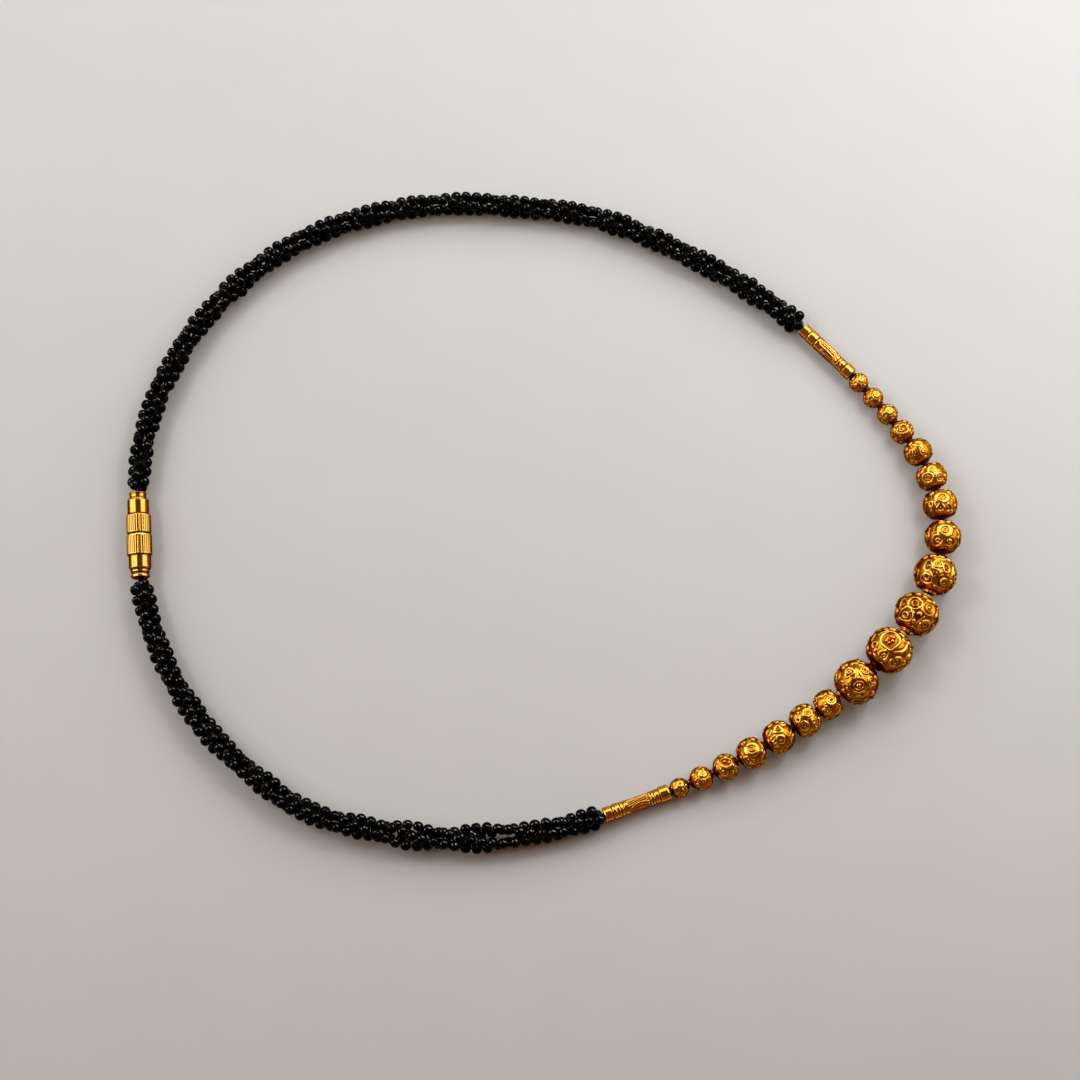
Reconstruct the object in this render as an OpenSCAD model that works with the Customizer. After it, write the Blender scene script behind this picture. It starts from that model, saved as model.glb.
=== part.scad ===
// Mangalsutra: a whole loop that lies on a flat surface.
// Two ropes of small black beads, a screw clasp, two engraved tubes and a
// graduated string of round gold beads. Millimetres. +X to the right of the
// loop (gold beads), -X to the clasp, +Z up, surface at z = 0.

/* [Loop] */
// Space left between neighbouring pieces on the thread
gap = 0.15; // [0.1:0.05:0.2]
// Smoothness of the turned surfaces
turned_fn = 72; // [48:12:96]

/* [Black bead ropes] */
// Width of a rope: four strands of small black beads laid together
rope_w = 5.3; // [5.0:0.1:5.8]
// Width of a rope where its strands crowd into the clasp or a gold tube
rope_end_w = 4.2; // [3.9:0.1:4.6]
// Length over which a rope narrows at each end
rope_taper = 5; // [3:0.5:8]

/* [Gold beads] */
// Thread hole of a large bead
large_hole = 1.4; // [1.3:0.1:1.6]
// Thread hole of a small bead
small_hole = 1.2; // [1.2:0.1:1.4]
// Wall of the collar that stands round a thread hole
collar_wall = 0.3; // [0.2:0.05:0.4]
// Wall of the collar on the four largest beads
large_collar_wall = 0.5; // [0.3:0.05:0.6]
// How strongly a bead tips towards the height of its neighbours
tip_factor = 1.3; // [1.1:0.1:1.5]
// How far the plain end face falls from the collar to the round belt
end_fall = 0.15; // [0.1:0.05:0.3]

/* [Gold tubes] */
// Width of the upper tube over its widest band
upper_tube_d = 2.9; // [2.7:0.1:3.2]
// Width of the lower tube over its widest band
lower_tube_d = 3.2; // [3.0:0.1:3.5]
// Thread hole of a tube
tube_hole = 1.6; // [1.4:0.1:1.7]

/* [Screw clasp] */
// Width of the clasp over its ribbed bands
clasp_d = 5.0; // [4.8:0.1:5.4]
// Width of the hidden post
post_d = 2.2; // [1.8:0.1:2.6]
// Length of the hidden post
post_len = 4; // [3:0.5:5]
// Room round the post in its socket
post_room = 0.1; // [0.05:0.05:0.2]
// Width of the small hole for the strands in each end of the clasp
strand_hole = 1.6; // [1.2:0.1:2.0]

/* [Thread] */
// Width of the stringing thread
thread_d = 0.7; // [0.5:0.1:0.7]

/* [Hidden] */

GOLD = [0.86, 0.62, 0.16];
BLACK = [0.03, 0.03, 0.035];
DARK = [0.10, 0.07, 0.06];

// Round gold beads, from the upper tube to the lower one.
// columns: diameter over the raised work, length along the thread with both
// collars, height of each collar, more room for the bend after this bead
DIA = 0;
LEN = 1;
COLLAR = 2;
ROOM = 3;
BEADS = [
    [3.9, 4.0, 0.2, 0],
    [4.1, 4.2, 0.2, 0],
    [4.2, 4.35, 0.25, 0],
    [4.8, 4.65, 0.2, 0.05],
    [5.75, 5.45, 0.2, 0.125],
    [6.2, 5.4, 0.15, 0.15],
    [6.85, 5.9, 0.15, 0.175],
    [7.25, 6.85, 0.2, 0.225],
    [8.5, 8.25, 0.4, 0.2],
    [8.8, 8.75, 0.55, 0.125],
    [9.25, 9.05, 0.5, 0.1],
    [8.8, 8.65, 0.35, 0.075],
    [6.0, 5.15, 0.15, 0.05],
    [6.55, 5.65, 0.15, 0.025],
    [6.5, 6.2, 0.15, 0],
    [6.2, 5.95, 0.2, 0],
    [5.3, 5.3, 0.25, 0],
    [4.8, 4.95, 0.3, 0],
    [3.95, 4.05, 0.25, 0]];
LAST = len(BEADS) - 1;
// a bead this wide or wider has the large thread hole
LARGE_FROM = 6;
// a bead this wide or wider has the large collar
LARGEST_FROM = 8;

// Bands of the tubes, from the rope end to the bead end.
// columns: length, depth below the widest band
UPPER_BANDS = [[1.6, 0.08], [0.3, 0.22], [1.7, 0.02], [0.3, 0.22], [5.5, 0.06],
    [0.3, 0.18], [1.6, 0.06], [0.3, 0.22], [1.9, 0]];
LOWER_BANDS = [[1.6, 0.12], [0.3, 0.3], [1.5, 0.06], [0.2, 0.28], [0.5, 0.12],
    [0.2, 0.28], [4.9, 0.16], [0.4, 0.1], [0.2, 0.26], [0.4, 0.1], [0.2, 0.26],
    [0.9, 0.14], [0.2, 0.3], [2.0, 0]];

// Turned stages of the clasp, each table from the free end to the joint.
// columns: length, depth at the start, depth at the end, both below the
// widest band
SOCKET_STAGES = [[1.5, 0.85, 0.8], [2.95, 0.4, 0.4], [3.85, 0.08, 0.08]];
SCREW_STAGES = [[0.8, 0.55, 0.8], [1.2, 0.8, 0.6], [2.6, 0.3, 0.3], [4.1, 0, 0], [0.25, 0.35, 0.35]];
// room between the faces of the two halves
FACE_GAP = 0.1;
CLASP_AT = [-79.8, -4.45];
// direction of the clasp, from the screw half to the socket half
CLASP_TURN = 93.5;

// Outer end and direction of the upper tube
TUBE_AT = [53.25, 38.25];
TUBE_TURN = -45;

// Plan of the loop, in round numbers, x and y
UPPER_PLAN = [[-78.5, 19.5], [-72, 34.5], [-62.5, 46.5], [-50, 56], [-35, 62],
    [-19.5, 64.5], [-4, 64], [12, 61.5], [26.5, 55.5], [40, 48]];
GOLD_PLAN = [[71, 19], [78, 8], [80, -5], [76, -17.5], [68.5, -28],
    [59, -36.5], [48, -44], [36.5, -50.5], [25, -55.5], [12.5, -60], [0, -63.5]];
LOWER_PLAN = [[-2, -63.5], [-17, -64.5], [-31.5, -63], [-46, -59],
    [-58, -50.5], [-68, -40], [-75.5, -26.5]];

function unit(v) = v / norm(v);
function dir(a) = [cos(a), sin(a)];
function total(rows, n = -1) = let (k = n < 0 ? len(rows) : n)
    k == 0 ? 0 : rows[k - 1][0] + total(rows, k - 1);

// A smooth curve through the points p[1] to p[n - 2]
function blend(a, b, c, d, t) = 0.5 * (2 * b + (c - a) * t
    + (2 * a - 5 * b + 4 * c - d) * t * t + (3 * b - a - 3 * c + d) * t * t * t);
function curve(p, n = 12) = concat(
    [for (i = [1:len(p) - 3]) for (j = [0:n - 1]) blend(p[i - 1], p[i], p[i + 1], p[i + 2], j / n)],
    [p[len(p) - 2]]);
// Distance along a curve at each of its points
function travel(q) = [for (i = 0, s = 0; i < len(q);
    s = s + (i + 1 < len(q) ? norm(q[i + 1] - q[i]) : 0), i = i + 1) s];
// The point of curve q at distance s
function at(s, q, d) = [lookup(s, [for (i = [0:len(q) - 1]) [d[i], q[i][0]]]),
    lookup(s, [for (i = [0:len(q) - 1]) [d[i], q[i][1]]])];
function turn_at(s, q, d) = let (v = at(s + 1, q, d) - at(s - 1, q, d)) atan2(v[1], v[0]);

// Ends of the clasp, the tubes and the gold string
socket_len = total(SOCKET_STAGES);
screw_len = total(SCREW_STAGES);
clasp_len = socket_len + screw_len + FACE_GAP;
clasp_z = clasp_d / 2;
clasp_top = CLASP_AT + dir(CLASP_TURN) * clasp_len / 2;
clasp_low = CLASP_AT - dir(CLASP_TURN) * clasp_len / 2;

upper_len = total(UPPER_BANDS);
lower_len = total(LOWER_BANDS);
// the tubes lie as high as the narrow end of the rope that holds them
flat = cos(15);
tube_z = rope_end_w / 2 * flat;
upper_end = TUBE_AT + dir(TUBE_TURN) * upper_len;

gold_curve = curve(concat([TUBE_AT, upper_end], GOLD_PLAN));
gold_run = travel(gold_curve);
function step(i) = sqrt(pow((BEADS[i][LEN] + BEADS[i + 1][LEN]) / 2 + BEADS[i][ROOM] + gap, 2)
    - pow((BEADS[i][DIA] - BEADS[i + 1][DIA]) / 2, 2));
function bead_s(i) = i == 0 ? gap + BEADS[0][LEN] / 2 : bead_s(i - 1) + step(i - 1);
bead_run = [for (i = [0:LAST]) bead_s(i)];
gold_end = bead_run[LAST] + BEADS[LAST][LEN] / 2 + gap;
lower_start = at(gold_end, gold_curve, gold_run);
lower_dir = unit(at(gold_end + lower_len, gold_curve, gold_run) - lower_start);
lower_turn = atan2(lower_dir[1], lower_dir[0]);
lower_end = lower_start + lower_dir * lower_len;

// Where each bead lies: it rests on the surface and tips with its neighbours
function bead_z(i) = i < 0 || i > LAST ? tube_z : BEADS[i][DIA] / 2;
function run_at(i) = i < 0 ? 0 : i > LAST ? gold_end : bead_run[i];
function bead_at(i) = let (p = at(bead_run[i], gold_curve, gold_run)) [p[0], p[1], bead_z(i)];
function bead_turn(i) = turn_at(bead_run[i], gold_curve, gold_run);
function bead_tip(i) = tip_factor * atan2(bead_z(i + 1) - bead_z(i - 1), run_at(i + 1) - run_at(i - 1));
function bead_axis(i) = let (a = bead_turn(i), t = bead_tip(i)) [cos(t) * cos(a), cos(t) * sin(a), sin(t)];
// middle of a bead's hole at its near end (-1) or its far end (1)
function hole_end(i, side) = bead_at(i) + bead_axis(i) * side * BEADS[i][LEN] / 2;

// A tube of round section swept through points c with radii r, flat side down.
// Its ends stand square to the directions first and last, where given.
function side_of(t) = unit([-t[1], t[0], 0]);
module swept(c, r, sides, first = undef, last = undef) {
    n = len(c);
    rings = [for (i = [0:n - 1]) let (
            t = i == 0 && first != undef ? first : i == n - 1 && last != undef ? last
                : unit(c[min(i + 1, n - 1)] - c[max(i - 1, 0)]),
            s = side_of(t), u = cross(t, s))
        for (k = [0:sides - 1]) let (a = -90 + (k + 0.5) * 360 / sides)
            c[i] + r[i] * (cos(a) * s + sin(a) * u)];
    walls = [for (i = [0:n - 2], k = [0:sides - 1]) let (
            a = i * sides + k, b = i * sides + (k + 1) % sides, c2 = a + sides, d = b + sides)
        each [[a, b, d], [a, d, c2]]];
    ends = [[for (k = [sides - 1:-1:0]) k], [for (k = [0:sides - 1]) (n - 1) * sides + k]];
    polyhedron(points = rings, faces = [for (f = concat(walls, ends)) [for (k = [len(f) - 1:-1:0]) f[k]]], convexity = 8);
}

// A rope follows its plan, narrow at both ends, and lies on the surface
function ease(x) = let (t = max(0, min(1, x))) t * t * (3 - 2 * t);
function rope_stops(run, n) = concat([0, rope_taper / 2],
    [for (i = [0:n]) rope_taper + (run - 2 * rope_taper) * i / n],
    [run - rope_taper / 2, run]);
module rope(plan, z_first, z_last, turn_first, turn_last, n) {
    q = curve(plan);
    d = travel(q);
    run = d[len(d) - 1];
    stops = rope_stops(run, n);
    big = rope_w / 2;
    small = rope_end_w / 2;
    centres = [for (s = stops) let (p = at(s, q, d), e = ease(min(s, run - s) / rope_taper),
            z_end = s < run / 2 ? z_first : z_last)
        [p[0], p[1], z_end + (big * flat - z_end) * e]];
    radii = [for (s = stops) small + (big - small) * ease(min(s, run - s) / rope_taper)];
    color(BLACK) swept(centres, radii, 12, concat(dir(turn_first), [0]), concat(dir(turn_last), [0]));
}

module rope_upper() {
    rope(concat([CLASP_AT, clasp_top + dir(CLASP_TURN) * gap], UPPER_PLAN,
        [TUBE_AT - dir(TUBE_TURN) * gap, upper_end]), clasp_z, tube_z, CLASP_TURN, TUBE_TURN, 16);
}

module rope_lower() {
    rope(concat([lower_start, lower_end + lower_dir * gap], LOWER_PLAN,
        [clasp_low - dir(CLASP_TURN) * gap, CLASP_AT]), tube_z, clasp_z, lower_turn, CLASP_TURN, 11);
}

// Lays a shape that stands along Z down along a direction in plan
module lay(p, turn, tip = 0) {
    translate(p) rotate([0, -tip, turn]) rotate([0, 90, 0]) children();
}

// One round gold bead: a sphere that ends in low plain cones, with a collar
// round each end of the thread hole
module bead(i) {
    d = BEADS[i][DIA];
    l = BEADS[i][LEN];
    h = l / 2 - BEADS[i][COLLAR];
    hole = d < LARGE_FROM ? small_hole : large_hole;
    neck = hole / 2 + (d < LARGEST_FROM ? collar_wall : large_collar_wall);
    // the cone runs from the foot of the collar out to the sphere
    flare = (sqrt(pow(d / 2, 2) - pow(h - end_fall, 2)) - neck) / end_fall;
    color(GOLD) lay(bead_at(i), bead_turn(i), bead_tip(i)) difference() {
        union() {
            intersection() {
                sphere(d = d, $fn = turned_fn);
                union() {
                    cylinder(r1 = neck + flare * h, r2 = neck, h = h, $fn = turned_fn);
                    mirror([0, 0, 1]) cylinder(r1 = neck + flare * h, r2 = neck, h = h, $fn = turned_fn);
                }
            }
            cylinder(r = neck, h = l, center = true, $fn = turned_fn);
        }
        cylinder(d = hole, h = l + 1, center = true, $fn = turned_fn);
    }
}

// A turned tube with bands, open from end to end
module banded(bands, d) {
    n = len(bands);
    outline = [for (i = [0:n - 1]) each [[d / 2 - bands[i][1], total(bands, i)],
        [d / 2 - bands[i][1], total(bands, i + 1)]]];
    rotate_extrude($fn = turned_fn)
        polygon(concat([[tube_hole / 2, 0]], outline, [[tube_hole / 2, total(bands)]]));
}

module tube_upper() {
    color(GOLD) lay([TUBE_AT[0], TUBE_AT[1], tube_z], TUBE_TURN) banded(UPPER_BANDS, upper_tube_d);
}

module tube_lower() {
    color(GOLD) lay([lower_end[0], lower_end[1], tube_z], lower_turn + 180) banded(LOWER_BANDS, lower_tube_d);
}

// The turned outside of one half of the clasp, free end at z = 0
module stages(rows) {
    n = len(rows);
    outline = [for (i = [0:n - 1]) each [[clasp_d / 2 - rows[i][1], total(rows, i)],
        [clasp_d / 2 - rows[i][2], total(rows, i + 1)]]];
    rotate_extrude($fn = turned_fn) polygon(concat([[0, 0]], outline, [[0, total(rows)]]));
}

module clasp_socket() {
    color(GOLD) lay([clasp_top[0], clasp_top[1], clasp_z], CLASP_TURN + 180) difference() {
        stages(SOCKET_STAGES);
        translate([0, 0, socket_len - post_len - 0.4])
            cylinder(d = post_d + 2 * post_room, h = post_len + 1, $fn = turned_fn);
        translate([0, 0, -1]) cylinder(d = strand_hole, h = 2.2, $fn = turned_fn);
    }
}

module clasp_screw() {
    color(GOLD) lay([clasp_low[0], clasp_low[1], clasp_z], CLASP_TURN) difference() {
        union() {
            stages(SCREW_STAGES);
            translate([0, 0, screw_len - 1]) cylinder(d = post_d, h = post_len + 1, $fn = turned_fn);
        }
        translate([0, 0, -1]) cylinder(d = strand_hole, h = 2.2, $fn = turned_fn);
    }
}

// The thread runs through the upper tube, every gold bead and the lower tube
module thread() {
    u = dir(TUBE_TURN);
    joints = concat(
        [([upper_end[0], upper_end[1], tube_z] + hole_end(0, -1)) / 2],
        [for (i = [0:LAST - 1]) (hole_end(i, 1) + hole_end(i + 1, -1)) / 2],
        [([lower_start[0], lower_start[1], tube_z] + hole_end(LAST, 1)) / 2]);
    route = concat(
        [[TUBE_AT[0] + 0.3 * u[0], TUBE_AT[1] + 0.3 * u[1], tube_z]],
        [for (i = [0:LAST]) each [joints[i], bead_at(i)]],
        [joints[LAST + 1]],
        [[lower_end[0] - 0.3 * lower_dir[0], lower_end[1] - 0.3 * lower_dir[1], tube_z]]);
    color(DARK) swept(route, [for (p = route) thread_d / 2], 8);
}

clasp_socket();
clasp_screw();
rope_upper();
rope_lower();
tube_upper();
tube_lower();
bead(0);  // bead_01
bead(1);  // bead_02
bead(2);  // bead_03
bead(3);  // bead_04
bead(4);  // bead_05
bead(5);  // bead_06
bead(6);  // bead_07
bead(7);  // bead_08
bead(8);  // bead_09
bead(9);  // bead_10
bead(10);  // bead_11
bead(11);  // bead_12
bead(12);  // bead_13
bead(13);  // bead_14
bead(14);  // bead_15
bead(15);  // bead_16
bead(16);  // bead_17
bead(17);  // bead_18
bead(18);  // bead_19
thread();
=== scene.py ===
import bpy
import math
import numpy as np
from mathutils import Matrix, Vector


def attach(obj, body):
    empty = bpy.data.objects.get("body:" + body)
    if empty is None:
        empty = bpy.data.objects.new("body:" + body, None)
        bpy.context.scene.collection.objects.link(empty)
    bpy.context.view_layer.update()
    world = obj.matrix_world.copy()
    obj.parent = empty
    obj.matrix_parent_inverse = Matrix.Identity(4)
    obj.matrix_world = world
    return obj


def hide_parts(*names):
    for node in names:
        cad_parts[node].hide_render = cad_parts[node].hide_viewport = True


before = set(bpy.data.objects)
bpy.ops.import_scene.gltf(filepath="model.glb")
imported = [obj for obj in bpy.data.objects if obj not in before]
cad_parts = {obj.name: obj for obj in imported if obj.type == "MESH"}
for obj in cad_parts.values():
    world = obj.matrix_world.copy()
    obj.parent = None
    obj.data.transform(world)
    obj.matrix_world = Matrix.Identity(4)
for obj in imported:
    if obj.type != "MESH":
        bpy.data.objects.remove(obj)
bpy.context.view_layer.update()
MM = 0.001

# ---------------------------------------------------------------------------
# The loop, as part.scad lays it, in millimetres
# ---------------------------------------------------------------------------
GAP = 0.15
ROPE_W, ROPE_END_W = 5.3, 4.2
TIP_FACTOR = 1.3
END_FALL = 0.15
UPPER_TUBE_D, LOWER_TUBE_D, TUBE_HOLE = 2.9, 3.2, 1.6
CLASP_D = 5.0
# diameter, length, collar height, room for the bend
BEADS = [
    (3.9, 4.0, 0.2, 0),
    (4.1, 4.2, 0.2, 0),
    (4.2, 4.35, 0.25, 0),
    (4.8, 4.65, 0.2, 0.05),
    (5.75, 5.45, 0.2, 0.125),
    (6.2, 5.4, 0.15, 0.15),
    (6.85, 5.9, 0.15, 0.175),
    (7.25, 6.85, 0.2, 0.225),
    (8.5, 8.25, 0.4, 0.2),
    (8.8, 8.75, 0.55, 0.125),
    (9.25, 9.05, 0.5, 0.1),
    (8.8, 8.65, 0.35, 0.075),
    (6.0, 5.15, 0.15, 0.05),
    (6.55, 5.65, 0.15, 0.025),
    (6.5, 6.2, 0.15, 0),
    (6.2, 5.95, 0.2, 0),
    (5.3, 5.3, 0.25, 0),
    (4.8, 4.95, 0.3, 0),
    (3.95, 4.05, 0.25, 0),
]
LAST = len(BEADS) - 1
UPPER_LEN = LOWER_LEN = 13.5
SOCKET_LEN, SCREW_LEN, FACE_GAP = 8.3, 8.95, 0.1
CLASP_AT, CLASP_TURN = np.array([-79.8, -4.45]), 93.5
TUBE_AT, TUBE_TURN = np.array([53.25, 38.25]), -45
UPPER_PLAN = [(-78.5, 19.5), (-72, 34.5), (-62.5, 46.5), (-50, 56), (-35, 62),
              (-19.5, 64.5), (-4, 64), (12, 61.5), (26.5, 55.5), (40, 48)]
GOLD_PLAN = [(71, 19), (78, 8), (80, -5), (76, -17.5), (68.5, -28), (59, -36.5),
             (48, -44), (36.5, -50.5), (25, -55.5), (12.5, -60), (0, -63.5)]
LOWER_PLAN = [(-2, -63.5), (-17, -64.5), (-31.5, -63), (-46, -59), (-58, -50.5),
              (-68, -40), (-75.5, -26.5)]


def unit(v):
    v = np.asarray(v, float)
    return v / np.linalg.norm(v)


def heading(a):
    return np.array([math.cos(math.radians(a)), math.sin(math.radians(a))])


def curve(p, n=12):
    p = np.array([list(x) for x in p], float)
    out = []
    for i in range(1, len(p) - 2):
        a, b, c, d = p[i - 1], p[i], p[i + 1], p[i + 2]
        for j in range(n):
            t = j / n
            out.append(0.5 * (2 * b + (c - a) * t + (2 * a - 5 * b + 4 * c - d) * t * t
                              + (3 * b - a - 3 * c + d) * t ** 3))
    out.append(p[-2])
    return np.array(out)


def travel(q):
    return np.concatenate([[0], np.cumsum(np.linalg.norm(np.diff(q, axis=0), axis=1))])


def at(s, q, d):
    return np.stack([np.interp(s, d, q[:, k]) for k in range(q.shape[1])], -1)


clasp_len = SOCKET_LEN + SCREW_LEN + FACE_GAP
clasp_z = CLASP_D / 2
clasp_top = CLASP_AT + heading(CLASP_TURN) * clasp_len / 2
clasp_low = CLASP_AT - heading(CLASP_TURN) * clasp_len / 2
tube_z = ROPE_END_W / 2 * math.cos(math.radians(15))
upper_end = TUBE_AT + heading(TUBE_TURN) * UPPER_LEN
gold_curve = curve([TUBE_AT, upper_end] + GOLD_PLAN)
gold_run = travel(gold_curve)

bead_run = [GAP + BEADS[0][1] / 2]
for i in range(LAST):
    a, b = BEADS[i], BEADS[i + 1]
    bead_run.append(bead_run[-1] + math.sqrt(((a[1] + b[1]) / 2 + a[3] + GAP) ** 2 - ((a[0] - b[0]) / 2) ** 2))
gold_end = bead_run[LAST] + BEADS[LAST][1] / 2 + GAP
lower_start = at(gold_end, gold_curve, gold_run)
lower_dir = unit(at(gold_end + LOWER_LEN, gold_curve, gold_run) - lower_start)
lower_end = lower_start + lower_dir * LOWER_LEN


def bead_z(i):
    return tube_z if i < 0 or i > LAST else BEADS[i][0] / 2


def run_at(i):
    return 0 if i < 0 else gold_end if i > LAST else bead_run[i]


def bead_at(i):
    p = at(bead_run[i], gold_curve, gold_run)
    return np.array([p[0], p[1], bead_z(i)])


def bead_axis(i):
    v = at(bead_run[i] + 1, gold_curve, gold_run) - at(bead_run[i] - 1, gold_curve, gold_run)
    a = math.atan2(v[1], v[0])
    t = math.radians(TIP_FACTOR) * math.degrees(math.atan2(bead_z(i + 1) - bead_z(i - 1), run_at(i + 1) - run_at(i - 1)))
    return np.array([math.cos(t) * math.cos(a), math.cos(t) * math.sin(a), math.sin(t)])


def hole_end(i, side):
    return bead_at(i) + bead_axis(i) * side * BEADS[i][1] / 2


# ---------------------------------------------------------------------------
# The camera: a long lens, 79 degrees above the surface
# ---------------------------------------------------------------------------
ELEVATION = math.radians(79)
CAMERA_FAR = 510.0
LOOK_AT = np.array([0.0, -4.83, 0.0])
CAMERA = LOOK_AT + CAMERA_FAR * np.array([0, -math.cos(ELEVATION), math.sin(ELEVATION)])

# ---------------------------------------------------------------------------
# Meshes
# ---------------------------------------------------------------------------


def smooth(x):
    t = np.clip(x, 0, 1)
    return t * t * (3 - 2 * t)


def signed_volume(v, quads):
    a, b, c, d = (v[quads[:, k]] for k in range(4))
    return (np.einsum("ij,ij->i", a, np.cross(b, c)).sum() + np.einsum("ij,ij->i", a, np.cross(c, d)).sum()) / 6


def make_mesh(name, verts, quads, tris=None, values=None):
    """verts in millimetres; quads and tris are index arrays; values are named numbers per vertex."""
    verts = np.asarray(verts, float)
    quads = np.asarray(quads, np.int32).reshape(-1, 4)
    tris = np.zeros((0, 3), np.int32) if tris is None else np.asarray(tris, np.int32).reshape(-1, 3)
    mesh = bpy.data.meshes.new(name)
    mesh.vertices.add(len(verts))
    mesh.vertices.foreach_set("co", (verts * MM).astype(np.float32).ravel())
    loops = np.concatenate([quads.ravel(), tris.ravel()])
    mesh.loops.add(len(loops))
    mesh.loops.foreach_set("vertex_index", loops)
    starts = np.concatenate([np.arange(len(quads)) * 4, len(quads) * 4 + np.arange(len(tris)) * 3])
    mesh.polygons.add(len(quads) + len(tris))
    mesh.polygons.foreach_set("loop_start", starts.astype(np.int32))
    mesh.polygons.foreach_set("use_smooth", np.ones(len(starts), bool))
    mesh.update(calc_edges=True)
    mesh.validate()
    for key, val in (values or {}).items():
        mesh.attributes.new(key, "FLOAT", "POINT").data.foreach_set("value", np.asarray(val, np.float32))
    ob = bpy.data.objects.new(name, mesh)
    bpy.context.scene.collection.objects.link(ob)
    return ob


def torus_quads(n, m, offset=0):
    """Quads of a grid of n by m points that closes both ways."""
    i, j = np.meshgrid(np.arange(n), np.arange(m), indexing="ij")
    a = i * m + j
    b = ((i + 1) % n) * m + j
    c = ((i + 1) % n) * m + (j + 1) % m
    d = i * m + (j + 1) % m
    return np.stack([a, b, c, d], -1).reshape(-1, 4) + offset


def outward(verts, quads):
    return quads if signed_volume(verts, quads) > 0 else quads[:, ::-1]


def blur_grid(h, times):
    """Soft average of a grid that is closed across its second axis."""
    for _ in range(times):
        h = (np.roll(h, 1, 1) + np.roll(h, -1, 1) + 2 * h) / 4
        up = np.vstack([h[:1], h[:-1]])
        down = np.vstack([h[1:], h[-1:]])
        h = (up + down + 2 * h) / 4
    return h


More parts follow.
